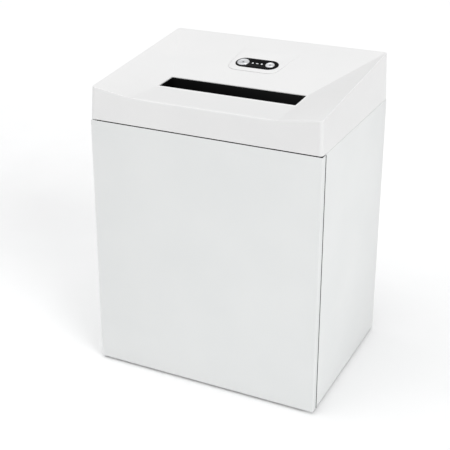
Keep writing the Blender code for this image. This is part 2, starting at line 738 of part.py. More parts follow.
def make_throat():
    """The black funnel that lines the feed slot and narrows to the neck above the rollers."""
    top_clear = 0.0004

    def slot_level(y):
        share = (y - SLOT_FRONT) / SLOT_WIDTH
        return HOOD_BASE + SLOT_FRONT_RISE + share * (SLOT_BACK_RISE - SLOT_FRONT_RISE)

    def around(grow, drop):
        x = SLOT_LENGTH / 2 + grow
        front = SLOT_FRONT - grow
        back = SLOT_BACK + grow
        front_z = slot_level(front) - drop
        back_z = slot_level(back) - drop
        return [(-x, front, front_z), (x, front, front_z), (x, back, back_z), (-x, back, back_z)]

    def neck(grow):
        x = SLOT_LENGTH / 2 - top_clear - THROAT_WALL - 0.001 + grow
        y = NECK_WIDTH / 2 + grow
        z = ROLLER_Z + ROLLER_RADIUS + NECK_CLEARANCE
        corners = rectangle((-x, SLOT_MIDDLE - y), (x, SLOT_MIDDLE + y))
        return [(*corner, z) for corner in corners]

    flange_top = HOOD_WALL + 2 * GAP
    flange_bottom = flange_top + THROAT_WALL
    bm = bmesh.new()
    sections = [
        around(-top_clear, 0.0002),
        around(-top_clear, flange_top),
        around(THROAT_FLANGE, flange_top),
        around(THROAT_FLANGE, flange_bottom),
        around(-top_clear, flange_bottom),
        neck(THROAT_WALL),
        neck(0),
        around(-top_clear - THROAT_WALL, 0.0002),
    ]
    rows = [[bm.verts.new(point) for point in section] for section in sections]
    for upper, lower in zip(rows, rows[1:] + rows[:1]):
        for corner in range(4):
            following = (corner + 1) % 4
            bm.faces.new((upper[corner], upper[following], lower[following], lower[corner]))
    bmesh.ops.recalc_face_normals(bm, faces=bm.faces)
    add_object("feed_throat", mesh_from(bm, "feed_throat"), BLACK_PLASTIC)


# ---------------------------------------------------------------- controls


def make_button(name, x, radius):
    """A round push button: a domed cap on a stem that ends above the control board."""
    dome = 0.0018
    foot = -BOARD_DEPTH + BOARD_THICKNESS + 0.0019
    profile = [
        (0, BUTTON_PROUD),
        (radius * 0.75, BUTTON_PROUD - dome * 0.25),
        (radius, BUTTON_PROUD - dome),
        (radius, -0.003),
        (0.004, -0.003),
        (0.004, foot),
        (0, foot),
    ]
    turned(name, profile, panel_frame(x, PANEL_UP_SLOPE), SILVER)


def make_controls():
    """The control panel: bezel, two push buttons, the light guide under its three windows, and the board."""
    frame = panel_frame(0, PANEL_UP_SLOPE)
    thickness = PANEL_PROUD + PANEL_DEPTH
    lights = (LIGHTS_X - LIGHT_SPACING, LIGHTS_X, LIGHTS_X + LIGHT_SPACING)
    window = LIGHT_RADIUS + GAP
    loops = [
        stadium(PANEL_LENGTH / 2, PANEL_WIDTH / 2),
        circle(START_RADIUS + RUNNING_GAP, (START_X, 0)),
        circle(REVERSE_RADIUS + RUNNING_GAP, (REVERSE_X, 0)),
        circle(window, (lights[0], 0), 10),
        stadium(LIGHT_DASH / 2 + GAP, window, (lights[1], 0), 5),
        circle(window, (lights[2], 0), 10),
    ]
    lift = Matrix.Translation((0, 0, PANEL_PROUD - thickness / 2))
    outline("control_bezel", loops, thickness, frame @ lift, GLOSS_BLACK)

    make_button("start_button", START_X, START_RADIUS)
    make_button("reverse_button", REVERSE_X, REVERSE_RADIUS)

    guide_top = -PANEL_DEPTH - GAP
    guide = block(
        "light_guide",
        (lights[0] - 0.003, -0.003, guide_top - 0.002),
        (lights[2] + 0.003, 0.003, guide_top),
        CLEAR_LENS,
        0,
        frame,
    )
    bosses = []
    boss_height = PANEL_PROUD - 0.0002 - guide_top + 0.001
    for index, x in enumerate(lights):
        if index == 1:
            points = stadium(LIGHT_DASH / 2, LIGHT_RADIUS, (x, 0), 5)
        else:
            points = circle(LIGHT_RADIUS, (x, 0), 10)
        rise = Matrix.Translation((0, 0, guide_top - 0.001 + boss_height / 2))
        boss = outline(f"light_boss_{index}", [points], boss_height, frame @ rise, CLEAR_LENS)
        bosses.append(to_mesh_object(boss))
    combine(guide, bosses, "UNION")
    block(
        "control_board",
        (-BOARD_LENGTH / 2, -BOARD_WIDTH / 2, -BOARD_DEPTH),
        (BOARD_LENGTH / 2, BOARD_WIDTH / 2, -BOARD_DEPTH + BOARD_THICKNESS),
        GREEN_BOARD,
        0,
        frame,
    )


# ---------------------------------------------------------------- rear fittings

INLET_BODY = (0.0133, 0.0098)
INLET_CAVITY = (0.0118, 0.0083)
INLET_DEPTH = 0.022
INLET_CAVITY_DEPTH = 0.0155
INLET_PIN = (0.001, 0.002)
INLET_PIN_RECESS = 0.0052
FITTING_FLANGE = 0.0014
FLANGE_THICKNESS = 0.001
ROCKER_BODY = (0.0082, 0.0110)
ROCKER_CAVITY = (0.0060, 0.0089)
ROCKER_DEPTH = 0.018
ROCKER_CAVITY_DEPTH = 0.0105
ROCKER_HALF = (0.0056, 0.0072)
ROCKER_AXIS_DEPTH = 0.0042
ROCKER_CROWN = 0.0052


def fitting_body(name, frame, half, cavity, depth, cavity_depth):
    """A snap-in fitting: a body through the wall, a flange outside it, and a cavity open to the outside."""
    joined = GAP + FLANGE_THICKNESS / 3
    body = block(name, (-half[0], -half[1], -depth), (half[0], half[1], joined), BLACK_PLASTIC, 0, frame)
    reach = (half[0] + FITTING_FLANGE, half[1] + FITTING_FLANGE)
    flange = block(
        f"{name}_flange",
        (-reach[0], -reach[1], GAP),
        (reach[0], reach[1], GAP + FLANGE_THICKNESS),
        BLACK_PLASTIC,
        0,
        frame,
    )
    hollow = block(
        f"{name}_cavity",
        (-cavity[0], -cavity[1], -cavity_depth),
        (cavity[0], cavity[1], 0.01),
        BLACK_PLASTIC,
        0,
        frame,
    )
    combine(body, [flange], "UNION")
    combine(body, [hollow], "DIFFERENCE")
    return body


def make_rear_fittings():
    """The mains inlet with its three pins, and the mains switch's frame and rocker."""
    frame = rear_frame(INLET_X, REAR_FITTING_RISE)
    inlet = fitting_body("mains_inlet", frame, INLET_BODY, INLET_CAVITY, INLET_DEPTH, INLET_CAVITY_DEPTH)
    pins = []
    for index, (x, y) in enumerate(((-0.007, -0.0015), (0.0, 0.0025), (0.007, -0.0015))):
        low = (x - INLET_PIN[0], y - INLET_PIN[1], -INLET_CAVITY_DEPTH - 0.001)
        high = (x + INLET_PIN[0], y + INLET_PIN[1], -INLET_PIN_RECESS)
        pins.append(block(f"inlet_pin_{index}", low, high, STEEL, 0, frame))
    combine(inlet, pins, "UNION")

    frame = rear_frame(ROCKER_X, REAR_FITTING_RISE)
    fitting_body("rocker_frame", frame, ROCKER_BODY, ROCKER_CAVITY, ROCKER_DEPTH, ROCKER_CAVITY_DEPTH)
    half = ROCKER_HALF[1]
    keel = 0.0045
    points = [(-half, ROCKER_CROWN), (-half, 0.0)]
    for step in range(1, 8):
        angle = math.pi + math.pi * step / 8
        points.append((half * math.cos(angle), keel * math.sin(angle)))
    points += [(half, 0.0), (half, ROCKER_CROWN), (0, ROCKER_CROWN - 0.0012)]
    tilt = Matrix.Rotation(ROCKER_TILT, 4, "X")
    sideways = Matrix(((0, 0, 1, 0), (1, 0, 0, 0), (0, 1, 0, 0), (0, 0, 0, 1)))
    sink = Matrix.Translation((0, 0, -ROCKER_AXIS_DEPTH))
    outline("mains_rocker", [points], 2 * ROCKER_HALF[0], frame @ sink @ tilt @ sideways, GLOSS_BLACK)


# ---------------------------------------------------------------- cutting head


def make_head_frame():
    """The tray, the two side plates, the tie bars and the bushings that hold the rollers."""
    low = Vector((-INNER_HALF + 0.001, SIDE_FRONT + SIDE_BOARD + 0.001, TRAY_BASE))
    high = Vector((INNER_HALF - 0.001, BACK_INNER - 0.001, TRAY_BASE + TRAY_WALL_HEIGHT))
    tray = block("head_tray", low, high, BLACK_PLASTIC)
    inside = block(
        "tray_inside",
        (low.x + TRAY_FLOOR, low.y + TRAY_FLOOR, TRAY_TOP),
        (high.x - TRAY_FLOOR, high.y - TRAY_FLOOR, high.z + 0.01),
        BLACK_PLASTIC,
    )
    chute = block(
        "tray_chute",
        (-CHUTE_LENGTH / 2, SLOT_MIDDLE - CHUTE_WIDTH / 2, TRAY_BASE - 0.01),
        (CHUTE_LENGTH / 2, SLOT_MIDDLE + CHUTE_WIDTH / 2, TRAY_TOP + 0.001),
        BLACK_PLASTIC,
    )
    combine(tray, [inside, chute], "DIFFERENCE")

    bush_hole = JOURNAL_RADIUS + RUNNING_GAP + BUSHING_WALL + GAP
    front = ROLLER_AXES["front"]
    rear = ROLLER_AXES["rear"]
    plate_low = TRAY_TOP + GAP
    head_top = ROLLER_Z + ROLLER_RADIUS
    plate_front = front.y - ROLLER_RADIUS - COMB_BAR - 0.010
    plate_rear = rear.y + ROLLER_RADIUS + COMB_BAR + 0.006
    motor_top = MOTOR_AXIS.z + MOTOR_RADIUS + 0.004
    motor_rear = MOTOR_AXIS.y + MOTOR_RADIUS + 0.004
    roller_holes = [circle(bush_hole, (axis.y, axis.z)) for axis in (front, rear)]
    drive_holes = [
        circle(AXLE_RADIUS + 0.003, (MOTOR_AXIS.y, MOTOR_AXIS.z)),
        circle(AXLE_RADIUS + GAP, (FIRST_AXIS.y, FIRST_AXIS.z), 12),
        circle(AXLE_RADIUS + GAP, (MIDDLE_AXIS.y, MIDDLE_AXIS.z), 12),
    ]
    left_edge = [
        (plate_front, plate_low),
        (motor_rear, plate_low),
        (motor_rear, motor_top),
        (MOTOR_AXIS.y - MOTOR_RADIUS, motor_top),
        (rear.y + 0.004, head_top),
        (plate_front, head_top),
    ]
    middle = PLATE_INNER + PLATE_THICKNESS / 2
    left_loops = [left_edge] + roller_holes + drive_holes
    outline("side_plate_left", left_loops, PLATE_THICKNESS, across((-middle, 0, 0)), STEEL)
    right_edge = rectangle((plate_front, plate_low), (plate_rear, head_top))
    outline("side_plate_right", [right_edge] + roller_holes, PLATE_THICKNESS, across((middle, 0, 0)), STEEL)

    bar_length = 2 * (PLATE_INNER - GAP)
    inset = TIE_BAR_RADIUS + 0.002
    for name, y in (("front", plate_front + inset), ("rear", plate_rear - inset)):
        bar_frame = along((1, 0, 0), (GAP - PLATE_INNER, y, plate_low + inset))
        rod(f"tie_bar_{name}", TIE_BAR_RADIUS, bar_length, bar_frame, STEEL, 12)

    for name, axis in ROLLER_AXES.items():
        for side, sign in (("left", -1), ("right", 1)):
            start = Vector((sign * middle - BUSHING_LENGTH / 2, axis.y, axis.z))
            ring(
                f"bushing_{name}_{side}",
                JOURNAL_RADIUS + RUNNING_GAP,
                bush_hole - GAP,
                BUSHING_LENGTH,
                along((1, 0, 0), start),
                BRONZE,
                16,
            )


def make_rollers():
    """Two shafts with cutting discs. The discs of one run between the discs of the other."""
    ends = {
        "front": ROLLER_PLANE - ROLLER_GEAR_FACE - 0.002,
        "rear": DRIVE_PLANE - DRIVE_GEAR_FACE - 0.002,
    }
    right_end = PLATE_OUTER + 0.005
    shoulder = PLATE_INNER - 0.002
    for name, axis in ROLLER_AXES.items():
        first = -ROLLER_HALF if name == "front" else -ROLLER_HALF + DISC_PITCH / 2
        journal = JOURNAL_RADIUS
        core = ROLLER_CORE_RADIUS
        profile = [(0, right_end), (journal, right_end), (journal, shoulder), (core, shoulder)]
        for disc in reversed(range(DISC_COUNT)):
            low = first + disc * DISC_PITCH
            high = low + DISC_WIDTH
            profile += [(core, high), (ROLLER_RADIUS, high), (ROLLER_RADIUS, low), (core, low)]
        profile += [(core, -shoulder), (journal, -shoulder), (journal, ends[name]), (0, ends[name])]
        frame = along((1, 0, 0), (0, axis.y, axis.z))
        turned(f"cutter_roller_{name}", profile, frame, CUTTER_STEEL, False, ROLLER_SEGMENTS)


def make_combs():
    """Two stripper combs, whose fingers stand between the discs of their roller."""
    finger_half = (DISC_PITCH - DISC_WIDTH) / 2 - 0.0005
    for name, axis in ROLLER_AXES.items():
        away = -1 if name == "front" else 1
        first = -ROLLER_HALF if name == "front" else -ROLLER_HALF + DISC_PITCH / 2
        back = axis.y + away * (ROLLER_RADIUS + COMB_BAR)
        bar = axis.y + away * (ROLLER_RADIUS + 0.0015)
        tip = axis.y + away * (ROLLER_CORE_RADIUS + 0.001)
        reach = PLATE_INNER - GAP
        points = [(reach, back), (-reach, back), (-reach, bar)]
        for disc in range(DISC_COUNT - 1):
            middle = first + disc * DISC_PITCH + (DISC_WIDTH + DISC_PITCH) / 2
            points += [
                (middle - finger_half, bar),
                (middle - finger_half, tip),
                (middle + finger_half, tip),
                (middle + finger_half, bar),
            ]
        points.append((reach, bar))
        outline(f"stripper_comb_{name}", [points], COMB_THICKNESS, Matrix.Translation((0, 0, axis.z)), STEEL)


# ---------------------------------------------------------------- gear train


def polar(start, distance, angle):
    """A point in the YZ plane at a distance and an angle from another."""
    return Vector((0, start.y + distance * math.cos(angle), start.z + distance * math.sin(angle)))


def stage_distance(first_teeth, second_teeth, module):
    """The distance between the axes of two meshing gears."""
    return (first_teeth + second_teeth) * module / 2


ROLLER_AXES = {
    "front": Vector((0, SLOT_MIDDLE - ROLLER_SPACING / 2, ROLLER_Z)),
    "rear": Vector((0, SLOT_MIDDLE + ROLLER_SPACING / 2, ROLLER_Z)),
}
MIDDLE_AXIS = polar(
    ROLLER_AXES["rear"], stage_distance(DRIVE_GEAR_TEETH, DRIVE_PINION_TEETH, DRIVE_MODULE), DRIVE_STAGE_ANGLE
)
FIRST_AXIS = polar(
    MIDDLE_AXIS, stage_distance(MIDDLE_GEAR_TEETH, MIDDLE_PINION_TEETH, FINE_MODULE), MIDDLE_STAGE_ANGLE
)
MOTOR_AXIS = polar(
    FIRST_AXIS, stage_distance(FIRST_GEAR_TEETH, MOTOR_PINION_TEETH, FINE_MODULE), MOTOR_STAGE_ANGLE
)

ROLLER_PLANE = -(PLATE_OUTER + 0.0035)
DRIVE_PLANE = ROLLER_PLANE - ROLLER_GEAR_FACE - GEAR_PLANE_GAP
MIDDLE_PLANE = DRIVE_PLANE - DRIVE_GEAR_FACE - GEAR_PLANE_GAP
FIRST_PLANE = MIDDLE_PLANE - MIDDLE_GEAR_FACE - GEAR_PLANE_GAP


def gear(name, wheel, axis, bore, plane, surface=STEEL):
    """A spur gear on an axis. `wheel` is teeth, module and phase; `plane` is the right face's x and the width."""
    teeth, module, phase = wheel
    right, face = plane
    loops = [gear_outline(teeth, module, phase), circle(bore, (0, 0), 16)]
    return outline(name, loops, face, across((right - face / 2, axis.y, axis.z)), surface)


def make_compound_gear(name, axis, pinion, pinion_plane, wheel, wheel_plane):
    """A moulded pinion and wheel in one piece, on a fixed axle that stands out of the left side plate."""
    bore = AXLE_RADIUS + GAP
    overlap = 0.0005
    reach = (pinion_plane[0], pinion_plane[1] + GEAR_PLANE_GAP + overlap)
    small = gear(f"{name}_pinion", pinion, axis, bore, reach, NYLON)
    large = gear(name, wheel, axis, bore, wheel_plane, NYLON)
    combine(to_mesh_object(large), [to_mesh_object(small)], "UNION")
    end = wheel_plane[0] - wheel_plane[1] - 0.0015
    length = -(PLATE_INNER + GAP) - end
    rod(f"{name}_axle", AXLE_RADIUS, length, along((1, 0, 0), (end, axis.y, axis.z)), STEEL, 16)


def make_gears():
    """Roller pair, drive gear, two compound gears and the motor pinion, all in mesh at rest."""
    shaft_bore = JOURNAL_RADIUS + GAP
    roller_plane = (ROLLER_PLANE, ROLLER_GEAR_FACE)
    drive_plane = (DRIVE_PLANE, DRIVE_GEAR_FACE)
    middle_plane = (MIDDLE_PLANE, MIDDLE_GEAR_FACE)
    first_plane = (FIRST_PLANE, FIRST_GEAR_FACE)

    roller_module = ROLLER_SPACING / ROLLER_GEAR_TEETH
    rear_phase = meshed_phase(0, ROLLER_GEAR_TEETH, ROLLER_GEAR_TEETH, 0)
    for name, phase in (("front", 0), ("rear", rear_phase)):
        wheel = (ROLLER_GEAR_TEETH, roller_module, phase)
        gear(f"roller_gear_{name}", wheel, ROLLER_AXES[name], shaft_bore, roller_plane)
    gear("drive_gear", (DRIVE_GEAR_TEETH, DRIVE_MODULE, 0), ROLLER_AXES["rear"], shaft_bore, drive_plane)

    phase = meshed_phase(0, DRIVE_GEAR_TEETH, DRIVE_PINION_TEETH, DRIVE_STAGE_ANGLE)
    pinion = (DRIVE_PINION_TEETH, DRIVE_MODULE, phase)
    wheel = (MIDDLE_GEAR_TEETH, FINE_MODULE, 0)
    make_compound_gear("middle_gear", MIDDLE_AXIS, pinion, drive_plane, wheel, middle_plane)

    phase = meshed_phase(0, MIDDLE_GEAR_TEETH, MIDDLE_PINION_TEETH, MIDDLE_STAGE_ANGLE)
    pinion = (MIDDLE_PINION_TEETH, FINE_MODULE, phase)
    wheel = (FIRST_GEAR_TEETH, FINE_MODULE, 0)
    make_compound_gear("first_gear", FIRST_AXIS, pinion, middle_plane, wheel, first_plane)

    phase = meshed_phase(0, FIRST_GEAR_TEETH, MOTOR_PINION_TEETH, MOTOR_STAGE_ANGLE)
    pinion = (MOTOR_PINION_TEETH, FINE_MODULE, phase)
    gear("motor_pinion", pinion, MOTOR_AXIS, AXLE_RADIUS + GAP, first_plane)


# ---------------------------------------------------------------- motor and electrics


def make_motor():
    """The motor on the left side plate: end shields, housing, rotor with its shaft, and the cooling fan."""
    y = MOTOR_AXIS.y
    z = MOTOR_AXIS.z
    shield_start = GAP - PLATE_INNER
    housing_start = shield_start + SHIELD_THICKNESS + GAP
    housing_end = housing_start + MOTOR_LENGTH
    shield_bore = AXLE_RADIUS + RUNNING_GAP
    shields = (("left", shield_start), ("right", housing_end + GAP))
    for side, start in shields:
        frame = along((1, 0, 0), (start, y, z))
        ring(f"motor_shield_{side}", shield_bore, MOTOR_RADIUS, SHIELD_THICKNESS, frame, ALUMINIUM)
    frame = along((1, 0, 0), (housing_start, y, z))
    ring("motor_housing", MOTOR_BORE, MOTOR_RADIUS, MOTOR_LENGTH, frame, STEEL)
    rotor_start = housing_start + (MOTOR_LENGTH - ROTOR_LENGTH) / 2
    rotor_end = rotor_start + ROTOR_LENGTH
    fan_start = housing_end + GAP + SHIELD_THICKNESS + 0.003
    shaft_left = FIRST_PLANE - FIRST_GEAR_FACE - 0.001
    shaft_right = fan_start + FAN_THICKNESS + 0.001
    core = MOTOR_BORE - 0.001
    profile = [
        (0, shaft_right),
        (AXLE_RADIUS, shaft_right),
        (AXLE_RADIUS, rotor_end),
        (core, rotor_end),
        (core, rotor_start),
        (AXLE_RADIUS, rotor_start),
        (AXLE_RADIUS, shaft_left),
        (0, shaft_left),
    ]
    turned("motor_rotor", profile, along((1, 0, 0), (0, y, z)), CUTTER_STEEL)

    hub = 0.010
    blade_half = math.radians(7)
    points = []
    for blade in range(FAN_BLADES):
        middle = 2 * math.pi * blade / FAN_BLADES
        for radius, angle in (
            (hub, middle - blade_half * 2),
            (FAN_RADIUS, middle - blade_half * 0.5),
            (FAN_RADIUS, middle + blade_half * 0.5),
            (hub, middle + blade_half * 2),
        ):
            points.append((radius * math.cos(angle), radius * math.sin(angle)))
    loops = [points, circle(AXLE_RADIUS + GAP, (0, 0), 16)]
    outline("cooling_fan", loops, FAN_THICKNESS, across((fan_start + FAN_THICKNESS / 2, y, z)), BLACK_PLASTIC)
    return fan_start


def make_electrics(fan_start):
    """The run capacitor, the paper sensor on the throat's back, and the lead from the board to the motor."""
    place = (fan_start + FAN_THICKNESS + 0.060, MOTOR_AXIS.y + 0.010, TRAY_TOP + GAP)
    rod("capacitor", CAPACITOR_RADIUS, CAPACITOR_HEIGHT, Matrix.Translation(place), ALUMINIUM)

    neck_z = ROLLER_Z + ROLLER_RADIUS + NECK_CLEARANCE
    flange_z = HOOD_BASE + SLOT_BACK_RISE - HOOD_WALL - 2 * GAP - THROAT_WALL
    lean = math.atan2(SLOT_WIDTH / 2 - NECK_WIDTH / 2 - THROAT_WALL, flange_z - neck_z)
    share = 0.60
    wall_y = SLOT_MIDDLE + NECK_WIDTH / 2 + THROAT_WALL + share * (flange_z - neck_z) * math.tan(lean)
    wall_z = neck_z + share * (flange_z - neck_z)
    frame = Matrix.Translation((0, wall_y, wall_z)) @ Matrix.Rotation(-lean, 4, "X")
    block("paper_sensor", (-0.009, 0.0006, -0.006), (0.009, 0.0096, 0.006), BLACK_PLASTIC, 0.0008, frame)

    board = panel_frame(0, PANEL_UP_SLOPE) @ Vector((-0.030, 0.010, -BOARD_DEPTH - 0.002))
    motor = Vector((fan_start - 0.016, MOTOR_AXIS.y + 0.012, MOTOR_AXIS.z + MOTOR_RADIUS + 0.0015))
    pulls = (board + Vector((0, 0.012, -0.012)), motor + Vector((0, 0.018, 0.012)))
    curve = bpy.data.curves.new("motor_lead", "CURVE")
    curve.dimensions = "3D"
    curve.bevel_depth = 0.0012
    curve.bevel_resolution = 1
    curve.use_fill_caps = True
    spline = curve.splines.new("POLY")
    steps = 12
    spline.points.add(steps)
    for step, point in enumerate(spline.points):
        t = step / steps
        ends = board * (1 - t) ** 3 + motor * t**3
        middle = pulls[0] * (3 * t * (1 - t) ** 2) + pulls[1] * (3 * t**2 * (1 - t))
        point.co = (*(ends + middle), 1)
    add_object("motor_lead", curve, BLACK_PLASTIC)


# ---------------------------------------------------------------- assembly

make_cabinet()
make_glides()
make_door()
make_bin()
make_hood()
make_throat()
make_controls()
make_rear_fittings()
make_head_frame()
make_rollers()
make_combs()
make_gears()
make_electrics(make_motor())
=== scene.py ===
"""The looks of a cabinet paper shredder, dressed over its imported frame.

Every sub-assembly is a class that holds its sizes and makes its finer pieces. Each finish is a small frozen
class that builds one procedural material. Metres, +Z up, and the front faces -Y.
"""

from __future__ import annotations

import json
import logging
import math
from collections.abc import Callable, Iterable, Sequence
from dataclasses import dataclass
from enum import Enum

import bmesh
import bpy
from mathutils import Matrix, Vector

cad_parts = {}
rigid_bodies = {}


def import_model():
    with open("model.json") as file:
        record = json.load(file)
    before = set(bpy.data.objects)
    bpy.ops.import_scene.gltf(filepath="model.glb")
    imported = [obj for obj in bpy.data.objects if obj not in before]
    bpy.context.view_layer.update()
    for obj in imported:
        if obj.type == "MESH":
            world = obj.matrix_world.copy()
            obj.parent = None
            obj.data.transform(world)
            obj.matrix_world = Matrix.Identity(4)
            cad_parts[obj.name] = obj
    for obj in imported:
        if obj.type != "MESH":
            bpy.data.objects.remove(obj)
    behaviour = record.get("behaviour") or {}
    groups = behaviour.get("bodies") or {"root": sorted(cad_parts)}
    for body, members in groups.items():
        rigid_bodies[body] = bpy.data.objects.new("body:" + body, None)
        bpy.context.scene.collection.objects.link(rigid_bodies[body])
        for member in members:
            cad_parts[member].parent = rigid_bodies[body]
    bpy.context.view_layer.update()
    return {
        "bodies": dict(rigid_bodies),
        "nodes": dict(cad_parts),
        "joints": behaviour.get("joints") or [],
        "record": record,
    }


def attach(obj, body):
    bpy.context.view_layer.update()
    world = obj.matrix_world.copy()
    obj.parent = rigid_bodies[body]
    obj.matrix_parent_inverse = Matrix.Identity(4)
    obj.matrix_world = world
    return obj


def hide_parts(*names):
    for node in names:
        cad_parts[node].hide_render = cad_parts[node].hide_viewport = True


LOG = logging.getLogger("paper_shredder")

Colour = tuple[float, float, float]
Point2 = tuple[float, float]

# The frame's own levels, which several sub-assemblies share.
HOOD_BASE = 0.563
PANEL_SLOPE = math.radians(12.649)
PANEL_CENTRE = Vector((0.0, 0.073197, 0.639079))
HOOD_HALF_WIDTH = 0.250
HOOD_HALF_DEPTH = 0.192
HOOD_BACK_RISE = 0.102
HOOD_DRAFT = 0.0033
SLOT_CENTRE = -0.0535
INLET_X = 0.155
ROCKER_X = 0.108
FITTING_RISE = 0.062


class Body(Enum):
    """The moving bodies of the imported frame."""

    ROOT = "root"
    DOOR = "door"
    START = "start_button"
    REVERSE = "reverse_button"
    SWITCH = "mains_rocker"
    REAR_ROLLER = "rear_roller"
    FRONT_ROLLER = "front_roller"
    MIDDLE_GEAR = "middle_gear"
    FIRST_GEAR = "first_gear"
    MOTOR = "motor_rotor"


class Texture(Enum):
    """The kinds of fine relief that a finish can have."""

    MOULDED = "moulded"
    LAMINATE = "laminate"
    BRUSHED = "brushed"
    STACKED = "stacked"
    TRACKED = "tracked"


class Drive(Enum):
    """The recess in a screw's head."""

    CROSS = "cross"
    SOCKET = "socket"


# ------------ node groups


class Tree:
    """Adds nodes to one node tree and links them."""

    def __init__(self, tree: bpy.types.NodeTree) -> None:
        """Keep the tree that the nodes go into."""
        self.tree = tree

    def add(self, kind: str, settings: dict[str, object] | None = None, **values: object) -> bpy.types.Node:
        """Add a node.

        Args:
            kind: The node's type name.
            settings: Attributes to set on the node itself.
            **values: Socket values or sockets to link, keyed by input name with underscores for spaces.

        Returns:
            The new node.
        """
        node = self.tree.nodes.new(kind)
        for name, value in (settings or {}).items():
            setattr(node, name, value)
        for name, value in values.items():
            self.feed(node, name.replace("_", " "), value)
        return node

    def feed(self, node: bpy.types.Node, name: str | int, value: object) -> None:
        """Set an input's value, or link a socket to it.

        Args:
            node: The node.
            name: The input's name or number.
            value: The value, or the socket to link.
        """
        socket = node.inputs[name]
        if isinstance(value, bpy.types.NodeSocket):
            self.tree.links.new(value, socket)
        else:
            socket.default_value = value

    def maths(self, operation: str, first: object, second: object = 0.0) -> bpy.types.NodeSocket:
        """Return a Math node's result.

        Args:
            operation: The sum to do.
            first: The first value or socket.
            second: The second value or socket.

        Returns:
            The result's socket.
        """
        node = self.add("ShaderNodeMath", {"operation": operation})
        self.feed(node, 0, first)
        self.feed(node, 1, second)
        return node.outputs[0]

    def remap(
        self, value: object, low: float, high: float, to_low: float, to_high: float
    ) -> bpy.types.NodeSocket:
        """Return a value moved from one range to another and clamped there.

        Args:
            value: The value or socket.
            low: Where the first range starts.
            high: Where the first range ends.
            to_low: Where the second range starts.
            to_high: Where the second range ends.

        Returns:
            The moved value's socket.
        """
        node = self.add("ShaderNodeMapRange", {"clamp": True})
        for index, item in enumerate((value, low, high, to_low, to_high)):
            self.feed(node, index, item)
        return node.outputs[0]

    def mix(self, share: object, first: object, second: object) -> bpy.types.NodeSocket:
        """Return a mix of two colours.

        Args:
            share: How much of the second colour there is.
            first: The first colour or socket.
            second: The second colour or socket.

        Returns:
            The mixed colour's socket.
        """
        node = self.add("ShaderNodeMix", {"data_type": "RGBA"})
        self.feed(node, 0, share)
        self.feed(node, 6, first)
        self.feed(node, 7, second)
        return node.outputs[2]


